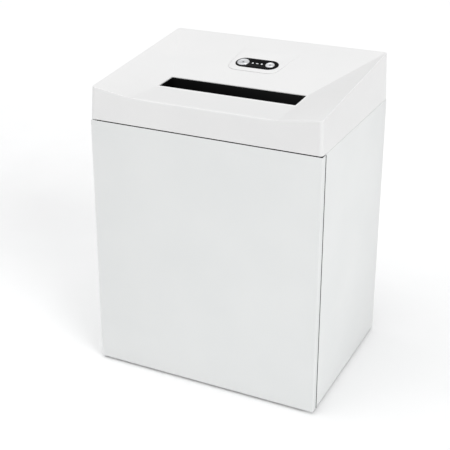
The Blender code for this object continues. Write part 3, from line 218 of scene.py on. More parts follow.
class Effects:
    """The shared shader node groups. Each one is built the first time that a finish asks for it."""

    def __init__(self) -> None:
        """Start with no group built."""
        self._made: dict[str, bpy.types.NodeTree] = {}

    def get(self, name: str) -> bpy.types.NodeTree:
        """Return a node group by name, building it if need be.

        Args:
            name: The group's name.

        Returns:
            The group.
        """
        if name not in self._made:
            makers: dict[str, Callable[[Tree, bpy.types.Node], dict[str, bpy.types.NodeSocket]]] = {
                "grain": self._grain,
                "streaks": self._streaks,
                "sheets": self._sheets,
                "tracks": self._tracks,
                "edge": self._edge,
                "dust": self._dust,
            }
            self._made[name] = self._group(name, makers[name])
        return self._made[name]

    @staticmethod
    def _group(
        name: str, maker: Callable[[Tree, bpy.types.Node], dict[str, bpy.types.NodeSocket]]
    ) -> bpy.types.NodeTree:
        """Build one group with a Scale and a Reach input, and one output for each result of the maker.

        Args:
            name: The group's name.
            maker: The method that makes its nodes.

        Returns:
            The group.
        """
        group = bpy.data.node_groups.new(name, "ShaderNodeTree")
        for label, start in (("Scale", 100.0), ("Reach", 0.001)):
            socket = group.interface.new_socket(name=label, in_out="INPUT", socket_type="NodeSocketFloat")
            socket.default_value = start
        tree = Tree(group)
        results = maker(tree, tree.add("NodeGroupInput"))
        end = tree.add("NodeGroupOutput")
        for label, socket in results.items():
            group.interface.new_socket(name=label, in_out="OUTPUT", socket_type="NodeSocketFloat")
            tree.feed(end, label, socket)
        return group

    @staticmethod
    def _noise(tree: Tree, scale: object, detail: float, vector: object = None) -> bpy.types.NodeSocket:
        """Return a noise value in the object's own coordinates.

        Args:
            tree: The tree to add it to.
            scale: The noise's scale.
            detail: How much fine detail it has.
            vector: Where it is read, if not at the object's own coordinates.

        Returns:
            The noise value's socket.
        """
        if vector is None:
            vector = tree.add("ShaderNodeTexCoord").outputs["Object"]
        return tree.add("ShaderNodeTexNoise", Vector=vector, Scale=scale, Detail=detail).outputs[0]

    def _grain(self, tree: Tree, start: bpy.types.Node) -> dict[str, bpy.types.NodeSocket]:
        """Fine moulded grain over slow unevenness, with broad patches of tone.

        Args:
            tree: The group's tree.
            start: The group's input node.

        Returns:
            Its changing values by output name.
        """
        scale = start.outputs["Scale"]
        fine = self._noise(tree, scale, 2.0)
        slow = self._noise(tree, tree.maths("MULTIPLY", scale, 0.12), 1.0)
        height = tree.maths("ADD", tree.maths("MULTIPLY", fine, 0.65), tree.maths("MULTIPLY", slow, 0.35))
        patch = tree.remap(self._noise(tree, 7.0, 3.0), 0.32, 0.68, 0.0, 1.0)
        speck = tree.remap(self._noise(tree, tree.maths("MULTIPLY", scale, 0.4), 4.0), 0.60, 0.75, 0.0, 1.0)
        return {"Height": height, "Patch": patch, "Speck": speck}

    def _streaks(self, tree: Tree, start: bpy.types.Node) -> dict[str, bpy.types.NodeSocket]:
        """Long fine scratches along X, as a grinding belt leaves.

        Args:
            tree: The group's tree.
            start: The group's input node.

        Returns:
            Its changing values by output name.
        """
        place = tree.add("ShaderNodeTexCoord").outputs["Object"]
        stretch = tree.add("ShaderNodeVectorMath", {"operation": "MULTIPLY"})
        tree.feed(stretch, 0, place)
        tree.feed(stretch, 1, (0.03, 1.0, 1.0))
        lines = self._noise(tree, start.outputs["Scale"], 4.0, stretch.outputs[0])
        patch = tree.remap(self._noise(tree, 40.0, 2.0), 0.35, 0.65, 0.0, 1.0)
        speck = tree.remap(lines, 0.55, 0.70, 0.0, 1.0)
        return {"Height": lines, "Patch": patch, "Speck": speck}

    def _sheets(self, tree: Tree, start: bpy.types.Node) -> dict[str, bpy.types.NodeSocket]:
        """Thin pressed sheets stacked along X, with a fine uneven edge.

        Args:
            tree: The group's tree.
            start: The group's input node.

        Returns:
            Its changing values by output name.
        """
        place = tree.add("ShaderNodeTexCoord").outputs["Object"]
        wave = tree.add("ShaderNodeTexWave", {"bands_direction": "X"}, Vector=place, Distortion=0.15)
        tree.feed(wave, "Scale", start.outputs["Scale"])
        patch = tree.remap(self._noise(tree, 60.0, 3.0), 0.35, 0.65, 0.0, 1.0)
        speck = tree.remap(self._noise(tree, 900.0, 3.0), 0.60, 0.72, 0.0, 1.0)
        return {"Height": wave.outputs[1], "Patch": patch, "Speck": speck}

    def _tracks(self, tree: Tree, start: bpy.types.Node) -> dict[str, bpy.types.NodeSocket]:
        """Printed conductor tracks under a lacquer.

        Args:
            tree: The group's tree.
            start: The group's input node.

        Returns:
            Its changing values by output name.
        """
        place = tree.add("ShaderNodeTexCoord").outputs["Object"]
        cells = tree.add("ShaderNodeTexVoronoi", {"feature": "DISTANCE_TO_EDGE"}, Vector=place)
        tree.feed(cells, "Scale", start.outputs["Scale"])
        track = tree.remap(cells.outputs[0], 0.04, 0.07, 1.0, 0.0)
        patch = tree.remap(self._noise(tree, 50.0, 2.0), 0.35, 0.65, 0.0, 1.0)
        return {"Height": track, "Patch": patch, "Speck": track}

    def _edge(self, tree: Tree, start: bpy.types.Node) -> dict[str, bpy.types.NodeSocket]:
        """A broken mask along the edges, where hands and tools rub, and where the white plastic gets a
        painted highlight.

        Args:
            tree: The group's tree.
            start: The group's input node.

        Returns:
            Its changing values by output name.
        """
        soft = tree.add("ShaderNodeBevel", {"samples": 4})
        tree.feed(soft, "Radius", start.outputs["Reach"])
        dot = tree.add("ShaderNodeVectorMath", {"operation": "DOT_PRODUCT"})
        tree.feed(dot, 0, soft.outputs[0])
        tree.feed(dot, 1, tree.add("ShaderNodeNewGeometry").outputs["Normal"])
        edge = tree.remap(dot.outputs["Value"], 0.995, 0.80, 0.0, 1.0)
        broken = tree.remap(self._noise(tree, start.outputs["Scale"], 3.0), 0.42, 0.62, 0.25, 1.0)
        return {"Edge": tree.maths("MULTIPLY", edge, broken)}

    def _dust(self, tree: Tree, start: bpy.types.Node) -> dict[str, bpy.types.NodeSocket]:
        """Paper dust, which settles on what faces up.

        Args:
            tree: The group's tree.
            start: The group's input node.

        Returns:
            Its changing values by output name.
        """
        normal = tree.add("ShaderNodeTexCoord").outputs["Normal"]
        parts = tree.add("ShaderNodeSeparateXYZ", Vector=normal)
        upward = tree.remap(parts.outputs["Z"], 0.3, 0.95, 0.0, 1.0)
        flecks = tree.remap(self._noise(tree, start.outputs["Scale"], 6.0), 0.45, 0.75, 0.0, 1.0)
        return {"Dust": tree.maths("MULTIPLY", upward, flecks)}


# ------------ finishes


@dataclass(frozen=True)
class Finish:
    """One procedural finish.

    Attributes:
        name: The material's name, and the key it is kept under.
        slot: The record's material slot that the finish belongs to. It is not used.
        colour: The main colour.
        patch: The colour in the broad patches.
        roughness: The lowest and highest roughness.
        metallic: How metallic the surface is.
        texture: The kind of fine relief.
        scale: How many grains go to a metre, roughly.
        relief: The relief's height in metres.
        speck: The colour of the flecks, scratches or tracks.
        speck_share: How strongly they show.
        edge: The colour that shows along the edges: rubbed wear on the metals and dark plastics,
            and a painted highlight on the white plastic.
        edge_wear_and_highlight_share: How strongly it shows.
        dust_share: How much paper dust lies on what faces up.
        coat: The weight of a clear gloss coat.
        specular: How strongly the surface mirrors at a plain angle.
        one_sided: Whether the surface can't be seen from behind.
    """

    name: str
    slot: str
    colour: Colour
    patch: Colour
    roughness: Point2
    metallic: float = 0.0
    texture: Texture = Texture.MOULDED
    scale: float = 1400.0
    relief: float = 0.00003
    speck: Colour = (0.5, 0.5, 0.5)
    speck_share: float = 0.0
    edge: Colour = (0.8, 0.8, 0.8)
    edge_wear_and_highlight_share: float = 0.0
    dust_share: float = 0.0
    coat: float = 0.0
    specular: float = 0.5
    one_sided: bool = False

    def material(self, effects: Effects) -> bpy.types.Material:
        """Build the material.

        Args:
            effects: The shared node groups.

        Returns:
            A material whose colour, roughness and bump all vary over the surface.
        """
        made = bpy.data.materials.new(self.name)
        made.use_nodes = True
        tree = Tree(made.node_tree)
        shader = made.node_tree.nodes["Principled BSDF"]
        group = {
            Texture.BRUSHED: "streaks",
            Texture.STACKED: "sheets",
            Texture.TRACKED: "tracks",
        }.get(self.texture, "grain")
        grain = self._use(tree, effects, group, self.scale)
        colour = tree.mix(grain.outputs["Patch"], (*self.colour, 1.0), (*self.patch, 1.0))
        if self.speck_share:
            share = tree.maths("MULTIPLY", grain.outputs["Speck"], self.speck_share)
            colour = tree.mix(share, colour, (*self.speck, 1.0))
        # Lighter colour along the edges: rubbed wear on the metals and dark plastics, a painted highlight on
        # the white plastic.
        if self.edge_wear_and_highlight_share:
            wear_and_highlight = self._use(tree, effects, "edge", 260.0)
            share = tree.maths("MULTIPLY", wear_and_highlight.outputs["Edge"], self.edge_wear_and_highlight_share)
            colour = tree.mix(share, colour, (*self.edge, 1.0))
        if self.dust_share:
            dust = self._use(tree, effects, "dust", 420.0)
            share = tree.maths("MULTIPLY", dust.outputs["Dust"], self.dust_share)
            colour = tree.mix(share, colour, (0.72, 0.71, 0.69, 1.0))
        tree.feed(shader, "Base Color", colour)
        blend = tree.maths("MULTIPLY", grain.outputs["Patch"], 0.5)
        blend = tree.maths("ADD", blend, tree.maths("MULTIPLY", grain.outputs["Height"], 0.5))
        tree.feed(shader, "Roughness", tree.remap(blend, 0.2, 0.8, *self.roughness))
        bump = tree.add("ShaderNodeBump", Strength=1.0, Distance=self.relief, Height=grain.outputs["Height"])
        tree.feed(shader, "Normal", bump.outputs[0])
        shader.inputs["Metallic"].default_value = self.metallic
        shader.inputs["Coat Weight"].default_value = self.coat
        shader.inputs["Coat Roughness"].default_value = 0.08
        shader.inputs["Specular IOR Level"].default_value = self.specular
        if self.one_sided:
            behind = tree.add("ShaderNodeNewGeometry").outputs["Backfacing"]
            either = tree.add("ShaderNodeMixShader")
            tree.feed(either, 0, behind)
            tree.feed(either, 1, shader.outputs[0])
            tree.feed(either, 2, tree.add("ShaderNodeBsdfTransparent").outputs[0])
            tree.feed(made.node_tree.nodes["Material Output"], "Surface", either.outputs[0])
        return made

    @staticmethod
    def _use(tree: Tree, effects: Effects, name: str, scale: float) -> bpy.types.Node:
        """Add a shared group to a material.

        Args:
            tree: The material's tree.
            effects: The shared node groups.
            name: The group's name.
            scale: The group's scale.

        Returns:
            The group's node.
        """
        node = tree.add("ShaderNodeGroup", {"node_tree": effects.get(name)})
        node.inputs["Scale"].default_value = scale
        return node


WHITE_LAMINATE = Finish(
    "white_laminate", "white_laminate", (0.790, 0.800, 0.795), (0.770, 0.782, 0.778), (0.36, 0.46),
    texture=Texture.LAMINATE, scale=900.0, relief=0.000012, speck=(0.70, 0.71, 0.71), speck_share=0.10,
    edge=(0.86, 0.86, 0.85), edge_wear_and_highlight_share=0.55,
)
# The white plastic's lighter edge colour is a painted highlight along its edges.
WHITE_PLASTIC = Finish(
    "white_plastic", "white_plastic", (0.815, 0.812, 0.808), (0.795, 0.794, 0.792), (0.42, 0.52),
    scale=1500.0, relief=0.000018, speck=(0.74, 0.74, 0.74), speck_share=0.08,
    edge=(0.88, 0.88, 0.87), edge_wear_and_highlight_share=0.20, specular=0.35,
)
BLACK_PLASTIC = Finish(
    "black_plastic", "black_plastic", (0.006, 0.006, 0.007), (0.010, 0.010, 0.011), (0.42, 0.56),
    scale=1300.0, relief=0.00004, edge=(0.05, 0.05, 0.05), edge_wear_and_highlight_share=0.4, specular=0.22,
)
# A black darker than the plastic's own, which paints the shade deep inside the feed throat.
THROAT_SHADE_BLACK = Finish(
    "throat_shade_black", "black_plastic", (0.0012, 0.0012, 0.0013), (0.0022, 0.0022, 0.0024), (0.45, 0.60),
    scale=1300.0, relief=0.00004, edge=(0.012, 0.012, 0.012), edge_wear_and_highlight_share=0.3, specular=0.06,
)
# A dull black for the strips that paint the shade in the door's seams.
SEAM_SHADE_BLACK = Finish(
    "seam_shade_black", "black_plastic", (0.004, 0.004, 0.004), (0.007, 0.007, 0.007), (0.80, 0.95),
    scale=2600.0, relief=0.0001, specular=0.1,
)
DUSTY_BLACK = Finish(
    "dusty_black", "black_plastic", (0.012, 0.012, 0.013), (0.020, 0.020, 0.021), (0.48, 0.62),
    scale=1100.0, relief=0.00005, edge=(0.07, 0.07, 0.07), edge_wear_and_highlight_share=0.5, dust_share=0.25,
)
GLOSS_BLACK = Finish(
    "gloss_black", "gloss_black", (0.0022, 0.0022, 0.0024), (0.0034, 0.0034, 0.0036), (0.14, 0.22),
    scale=500.0, relief=0.000004, edge=(0.02, 0.02, 0.02), edge_wear_and_highlight_share=0.3, specular=0.05,
)
BIN_GREY = Finish(
    "bin_grey", "bin_grey", (0.085, 0.087, 0.092), (0.105, 0.106, 0.110), (0.46, 0.60),
    scale=1200.0, relief=0.00005, speck=(0.16, 0.16, 0.16), speck_share=0.3,
    edge=(0.22, 0.22, 0.22), edge_wear_and_highlight_share=0.5, dust_share=0.18,
)
SILVER = Finish(
    "silver_button", "silver_button", (0.79, 0.80, 0.82), (0.86, 0.87, 0.88), (0.24, 0.34), metallic=0.5,
    texture=Texture.BRUSHED, scale=2600.0, relief=0.000006, edge=(0.85, 0.85, 0.86), edge_wear_and_highlight_share=0.5,
)
STEEL = Finish(
    "steel", "steel", (0.52, 0.53, 0.54), (0.62, 0.63, 0.63), (0.26, 0.42), metallic=1.0,
    texture=Texture.BRUSHED, scale=1800.0, relief=0.00002, speck=(0.36, 0.36, 0.36), speck_share=0.35,
    edge=(0.80, 0.80, 0.80), edge_wear_and_highlight_share=0.6,
)
CUTTER_STEEL = Finish(
    "cutter_steel", "cutter_steel", (0.34, 0.35, 0.36), (0.44, 0.44, 0.45), (0.22, 0.40), metallic=1.0,
    texture=Texture.BRUSHED, scale=1500.0, relief=0.00002, speck=(0.20, 0.19, 0.18), speck_share=0.4,
    edge=(0.78, 0.78, 0.79), edge_wear_and_highlight_share=0.9, dust_share=0.15,
)
STACKED_STEEL = Finish(
    "stacked_steel", "steel", (0.30, 0.31, 0.32), (0.40, 0.40, 0.41), (0.34, 0.50), metallic=1.0,
    texture=Texture.STACKED, scale=160.0, relief=0.00015, speck=(0.22, 0.17, 0.13), speck_share=0.35,
    edge=(0.62, 0.62, 0.62), edge_wear_and_highlight_share=0.6,
)
NYLON = Finish(
    "nylon", "nylon", (0.72, 0.70, 0.62), (0.78, 0.76, 0.68), (0.38, 0.50),
    scale=1500.0, relief=0.00002, speck=(0.42, 0.38, 0.28), speck_share=0.12,
    edge=(0.85, 0.83, 0.76), edge_wear_and_highlight_share=0.4,
)
BRONZE = Finish(
    "bronze", "bronze", (0.46, 0.29, 0.13), (0.56, 0.37, 0.18), (0.34, 0.48), metallic=1.0,
    scale=2200.0, relief=0.00003, speck=(0.18, 0.11, 0.06), speck_share=0.6,
    edge=(0.75, 0.55, 0.30), edge_wear_and_highlight_share=0.6,
)
GREEN_BOARD = Finish(
    "green_board", "green_board", (0.012, 0.100, 0.045), (0.016, 0.120, 0.055), (0.26, 0.40),
    texture=Texture.TRACKED, scale=260.0, relief=0.00004, speck=(0.04, 0.22, 0.09), speck_share=0.8, coat=0.3,
)
CLEAR_LENS = Finish(
    "clear_lens", "clear_lens", (0.92, 0.94, 0.95), (0.95, 0.96, 0.97), (0.10, 0.18),
    scale=800.0, relief=0.000004, edge=(0.92, 0.94, 0.95), edge_wear_and_highlight_share=0.3, coat=0.3,
)
ALUMINIUM = Finish(
    "aluminium", "aluminium", (0.58, 0.59, 0.60), (0.68, 0.69, 0.70), (0.32, 0.48), metallic=1.0,
    scale=1600.0, relief=0.00004, speck=(0.40, 0.40, 0.41), speck_share=0.4,
    edge=(0.84, 0.84, 0.85), edge_wear_and_highlight_share=0.6,
)
FLOOR_PAINT = Finish(
    "floor_paint", "", (0.955, 0.955, 0.955), (0.965, 0.965, 0.965), (0.60, 0.75),
    scale=300.0, relief=0.00002, specular=0.1, one_sided=True,
)


# ------------ mesh making


def linked(name: str, mesh: bpy.types.Mesh | bpy.types.Curve) -> bpy.types.Object:
    """Return a new object in the scene.

    Args:
        name: The object's name.
        mesh: Its mesh or curve.

    Returns:
        The object.
    """
    obj = bpy.data.objects.new(name, mesh)
    bpy.context.scene.collection.objects.link(obj)
    return obj


def from_bmesh(name: str, bm: bmesh.types.BMesh) -> bpy.types.Object:
    """Return an object from a bmesh, with its normals turned outward.

    Args:
        name: The object's name.
        bm: The bmesh, which is freed.

    Returns:
        The object.
    """
    bmesh.ops.recalc_face_normals(bm, faces=bm.faces)
    mesh = bpy.data.meshes.new(name)
    bm.to_mesh(mesh)
    bm.free()
    return linked(name, mesh)


def settled(obj: bpy.types.Object) -> bpy.types.Object:
    """Replace an object by the mesh that its curve, modifiers and place make, and return it.

    Args:
        obj: The object, which is removed.

    Returns:
        The plain mesh object that takes its name.
    """
    bpy.context.view_layer.update()
    graph = bpy.context.evaluated_depsgraph_get()
    mesh = bpy.data.meshes.new_from_object(obj.evaluated_get(graph))
    mesh.transform(obj.matrix_world)
    name = obj.name
    bpy.data.objects.remove(obj, do_unlink=True)
    return linked(name, mesh)


def merged(name: str, objects: Iterable[bpy.types.Object]) -> bpy.types.Object:
    """Return one object that holds the meshes of several, which are removed.

    Args:
        name: The object's name.
        objects: The objects to join.

    Returns:
        The joined object.
    """
    bm = bmesh.new()
    for obj in objects:
        flat = settled(obj)
        bm.from_mesh(flat.data)
        bpy.data.objects.remove(flat, do_unlink=True)
    mesh = bpy.data.meshes.new(name)
    bm.to_mesh(mesh)
    bm.free()
    return linked(name, mesh)


def cut(obj: bpy.types.Object, cutters: Iterable[bpy.types.Object]) -> bpy.types.Object:
    """Take the cutters away from an object and return the result.

    Args:
        obj: The object to cut.
        cutters: The objects to take away from it.

    Returns:
        The object that is left.
    """
    tool = merged(f"{obj.name}_cutters", cutters)
    bm = bmesh.new()
    bm.from_mesh(tool.data)
    bmesh.ops.recalc_face_normals(bm, faces=bm.faces)
    bm.to_mesh(tool.data)
    bm.free()
    boolean = obj.modifiers.new("cut", "BOOLEAN")
    boolean.operation = "DIFFERENCE"
    boolean.solver = "EXACT"
    boolean.object = tool
    done = settled(obj)
    bpy.data.objects.remove(tool, do_unlink=True)
    return done


def along(axis: Sequence[float], centre: Sequence[float]) -> Matrix:
    """Return a frame whose +Z runs along an axis from a centre."""
    turn = Vector((0, 0, 1)).rotation_difference(Vector(axis)).to_matrix().to_4x4()
    return Matrix.Translation(centre) @ turn


def lathe(
    name: str, profile: Sequence[Point2], frame: Matrix, segments: int = 64, closed: bool = False
) -> bpy.types.Object:
    """Turn a profile about a frame's Z.

    Args:
        name: The object's name.
        profile: Points of radius and height.
        frame: Where the axis stands.
        segments: How many steps go round.
        closed: Whether the last point joins the first, as for a ring.

    Returns:
        The turned object.
    """
    bm = bmesh.new()
    rings: list[list[bmesh.types.BMVert]] = []
    for radius, height in profile:
        count = segments if radius > 1e-7 else 1
        turns = [2 * math.pi * step / count for step in range(count)]
        places = [frame @ Vector((radius * math.cos(a), radius * math.sin(a), height)) for a in turns]
        rings.append([bm.verts.new(place) for place in places])
    pairs = list(zip(rings, rings[1:]))
    if closed:
        pairs.append((rings[-1], rings[0]))
    for first, second in pairs:
        for step in range(segments):
            around = [first[step % len(first)], first[(step + 1) % len(first)]]
            around += [second[(step + 1) % len(second)], second[step % len(second)]]
            corners = list(dict.fromkeys(around))
            if len(corners) > 2:
                bm.faces.new(corners)
    return from_bmesh(name, bm)


def circle(radius: float, centre: Point2 = (0.0, 0.0), segments: int = 64) -> list[Point2]:
    """Return the points of a circle."""
    steps = [2 * math.pi * step / segments for step in range(segments)]
    return [(centre[0] + radius * math.cos(a), centre[1] + radius * math.sin(a)) for a in steps]


def stadium(half_length: float, radius: float, centre: Point2 = (0.0, 0.0), steps: int = 20) -> list[Point2]:
    """Return a straight-sided outline with round ends, along X.

    Args:
        half_length: Half the whole length.
        radius: The ends' radius.
        centre: The middle.
        steps: How many steps each end has.

    Returns:
        The outline's points.
    """
    points = []
    for side, start in ((1, -math.pi / 2), (-1, math.pi / 2)):
        for step in range(steps + 1):
            angle = start + math.pi * step / steps
            x = side * (half_length - radius) + radius * math.cos(angle)
            points.append((centre[0] + x, centre[1] + radius * math.sin(angle)))
    return points


def plate(
    name: str, loops: Sequence[Sequence[Point2]], thickness: float, frame: Matrix, edge: float = 0.0
) -> bpy.types.Object:
    """Make a flat piece with rounded edges.

    Args:
        name: The object's name.
        loops: Closed outlines, the first outside and the rest holes.
        thickness: The whole thickness, centred on the frame.
        frame: The frame whose XY plane the piece lies in.
        edge: The edge radius, which doesn't change the outline's size.

    Returns:
        The plate as a mesh object.
    """
    curve = bpy.data.curves.new(name, "CURVE")
    curve.dimensions = "2D"
    curve.fill_mode = "BOTH"
    curve.extrude = thickness / 2 - edge
    curve.bevel_depth = edge
    curve.bevel_resolution = 2
    curve.offset = -edge
    for loop in loops:
        spline = curve.splines.new("POLY")
        spline.points.add(len(loop) - 1)
        for point, (x, y) in zip(spline.points, loop):
            point.co = (x, y, 0, 1)
        spline.use_cyclic_u = True
    obj = linked(name, curve)
    obj.matrix_world = frame
    made = settled(obj)
    bm = bmesh.new()
    bm.from_mesh(made.data)
    bmesh.ops.remove_doubles(bm, verts=bm.verts, dist=1e-6)
    bm.to_mesh(made.data)
    bm.free()
    return made


def block(
    name: str, low: Sequence[float], high: Sequence[float], edge: float = 0.0, frame: Matrix | None = None
) -> bpy.types.Object:
    """Make a block between two corners, with rounded edges.

    Args:
        name: The object's name.
        low: The lowest corner.
        high: The highest corner.
        edge: The edge radius.
        frame: The frame that the corners are in, or the world's.

    Returns:
        The block.
    """
    low, high = Vector(low), Vector(high)
    bm = bmesh.new()
    bmesh.ops.create_cube(bm, size=1.0, matrix=Matrix.Diagonal((*(high - low), 1.0)))
    if edge:
        bmesh.ops.bevel(bm, geom=bm.edges[:], offset=edge, segments=3, profile=0.5, affect="EDGES")
    place = Matrix.Translation((low + high) / 2)
    bm.transform(place if frame is None else frame @ place)
    return from_bmesh(name, bm)


def panel_frame(x: float = 0.0, up: float = 0.0, lift: float = 0.0) -> Matrix:
    """Return a frame on the hood's back facet: X right, Y up the slope, Z out of it."""
    middle = Matrix.Translation(PANEL_CENTRE) @ Matrix.Rotation(PANEL_SLOPE, 4, "X")
    return middle @ Matrix.Translation((x, up, lift))


def rear_frame(x: float, rise: float) -> Matrix:
    """Return a frame on the hood's rear wall: Y up the wall, Z out of it, X towards the world's -X.

    Args:
        x: How far across the back.
        rise: How far above the hood's base.

    Returns:
        The frame.
    """
    lean = math.atan2(HOOD_DRAFT, HOOD_BACK_RISE)
    sine, cosine = math.sin(lean), math.cos(lean)
    turn = Matrix(((-1, 0, 0, 0), (0, -sine, cosine, 0), (0, cosine, sine, 0), (0, 0, 0, 1)))
    return Matrix.Translation((x, HOOD_HALF_DEPTH - rise * math.tan(lean), HOOD_BASE + rise)) @ turn


# ------------ workshop


class Workshop:
    """Paints and places pieces, and dresses the nodes that are carried over."""

    def __init__(self, nodes: dict[str, bpy.types.Object]) -> None:
        """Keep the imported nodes, and start with no material made.

        Args:
            nodes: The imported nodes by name.
        """
        self.nodes = nodes
        self.effects = Effects()
        self._paints: dict[str, bpy.types.Material] = {}
        self._smoothing = self._smoothing_group()
        self.left = set(nodes)

    @staticmethod
    def _smoothing_group() -> bpy.types.NodeTree:
        """Build the modifier group that shades smoothly across shallow edges and keeps the others sharp.

        Returns:
            The group.
        """
        group = bpy.data.node_groups.new("shade_by_angle", "GeometryNodeTree")
        for side in ("INPUT", "OUTPUT"):
            group.interface.new_socket(name="Geometry", in_out=side, socket_type="NodeSocketGeometry")
        tree = Tree(group)
        start = tree.add("NodeGroupInput")
        angle = tree.add("GeometryNodeInputMeshEdgeAngle")
        sharp = tree.add("FunctionNodeCompare", {"data_type": "FLOAT", "operation": "GREATER_THAN"})
        tree.feed(sharp, 0, angle.outputs[0])
        tree.feed(sharp, 1, math.radians(33))
        faces = tree.add("GeometryNodeSetShadeSmooth", {"domain": "FACE"}, Geometry=start.outputs[0])
        tree.feed(faces, "Shade Smooth", True)
        edges = tree.add("GeometryNodeSetShadeSmooth", {"domain": "EDGE"}, Geometry=faces.outputs[0])
        tree.feed(edges, "Selection", sharp.outputs[0])
        tree.feed(edges, "Shade Smooth", False)
        end = tree.add("NodeGroupOutput")
        tree.feed(end, 0, edges.outputs[0])
        return group

    def paint(self, obj: bpy.types.Object, finish: Finish) -> None:
        """Give an object one finish in every material slot.

        Args:
            obj: The object.
            finish: Its finish.
        """
        if finish.name not in self._paints:
            self._paints[finish.name] = finish.material(self.effects)
        made = self._paints[finish.name]
        if not obj.material_slots:
            obj.data.materials.append(made)
        for slot in obj.material_slots:
            slot.link = "OBJECT"
            slot.material = made

    def smooth(self, obj: bpy.types.Object) -> None:
        """Shade an object smoothly across its shallow edges."""
        obj.modifiers.new("shade", "NODES").node_group = self._smoothing

    def place(
        self, obj: bpy.types.Object, body: Body, finish: Finish, replaces: Sequence[str] = ()
    ) -> bpy.types.Object:
        """Paint a new piece and let it ride on a body.

        Args:
            obj: The new piece, at its rest place.
            body: The body that it moves with.
            finish: Its finish.
            replaces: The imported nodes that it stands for.

        Returns:
            The piece.
        """
        self.paint(obj, finish)
        self.smooth(obj)
        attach(obj, body.value)
        if replaces:
            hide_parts(*replaces)
            self.left -= set(replaces)
        LOG.info("made %s on %s in %s", obj.name, body.value, finish.name)
        return obj

    def dress(self, names: str | Sequence[str], finish: Finish, edge: float = 0.0) -> None:
        """Give carried-over nodes a finish and softened edges.

        Args:
            names: One node's name, or several.
            finish: The finish.
            edge: The radius to soften sharp edges by.
        """
        for name in [names] if isinstance(names, str) else names:
            obj = self.nodes[name]
            self.paint(obj, finish)
            weld = obj.modifiers.new("weld", "WELD")
            weld.merge_threshold = 0.000002
            if edge:
                soft = obj.modifiers.new("soft_edge", "BEVEL")
                soft.width = edge
                soft.segments = 2
                soft.limit_method = "ANGLE"
                soft.angle_limit = math.radians(28)
                soft.use_clamp_overlap = True
            self.smooth(obj)
            self.left.discard(name)
            LOG.info("dressed %s in %s", name, finish.name)


@dataclass
class Screws:
    """A set of screws that share one head, made as a single piece.

    Attributes:
        radius: The head's radius.
        height: The head's height.
        drive: The recess in the head.
    """

    radius: float = 0.0035
    height: float = 0.0016
    drive: Drive = Drive.CROSS

    def head(self) -> bpy.types.Object:
        """Make one head on the world's XY plane, with its recess cut in.

        Returns:
            The head.
        """
        r, h = self.radius, self.height
        profile = [(0, h), (0.45 * r, 0.97 * h), (0.75 * r, 0.82 * h), (0.93 * r, 0.52 * h), (r, 0.12 * h)]
        if self.drive is Drive.SOCKET:
            profile = [(0, h), (0.88 * r, h), (0.97 * r, 0.93 * h), (r, 0.80 * h)]
        profile += [(r, -0.0004), (0, -0.0004)]
        head = lathe("head", profile, Matrix.Identity(4), 24)
        if self.drive is Drive.SOCKET:
            recess = [(0, 2 * h), (0.5 * r, 2 * h), (0.5 * r, 0.4 * h), (0, 0.4 * h)]
            return cut(head, [lathe("socket", recess, Matrix.Identity(4), 6)])
        half, wide = 0.55 * r, 0.13 * r
        bar = block("bar", (-half, -wide, 0.35 * h), (half, wide, 2 * h))
        other = block("other", (-wide, -half, 0.3501 * h), (wide, half, 2.01 * h))
        return cut(cut(head, [bar]), [other])

    def set(self, name: str, frames: Iterable[Matrix]) -> bpy.types.Object:
        """Return one object with a head at each frame, each turned a little further than the last.

        Args:
            name: The object's name.
            frames: Where each head sits, with +Z out of it.

        Returns:
            The joined heads.
        """
        head = self.head()
        copies = []
        for index, frame in enumerate(frames):
            copy = linked(f"{name}_{index}", head.data.copy())
            copy.matrix_world = frame @ Matrix.Rotation(0.7 * index, 4, "Z")
            copies.append(copy)
        bpy.data.objects.remove(head, do_unlink=True)
        return merged(name, copies)


# ------------ studio


@dataclass(frozen=True)
class Sun:
    """One far soft light.

    Attributes:
        name: The light's name.
        azimuth: How far round to the right of the front it stands, in degrees.
        elevation: How far above the horizon it stands, in degrees.
        strength: Its strength.
        softness: How wide it looks, in degrees.
    """

    name: str
    azimuth: float
    elevation: float
    strength: float
    softness: float

    def shine(self) -> None:
        """Make the light."""
        light = bpy.data.lights.new(self.name, "SUN")
        light.energy = self.strength
        light.angle = math.radians(self.softness)
        obj = bpy.data.objects.new(self.name, light)
        turn, rise = math.radians(self.azimuth), math.radians(self.elevation)
        towards = Vector((math.sin(turn) * math.cos(rise), -math.cos(turn) * math.cos(rise), math.sin(rise)))
        obj.rotation_euler = towards.to_track_quat("Z", "Y").to_euler()
        bpy.context.scene.collection.objects.link(obj)


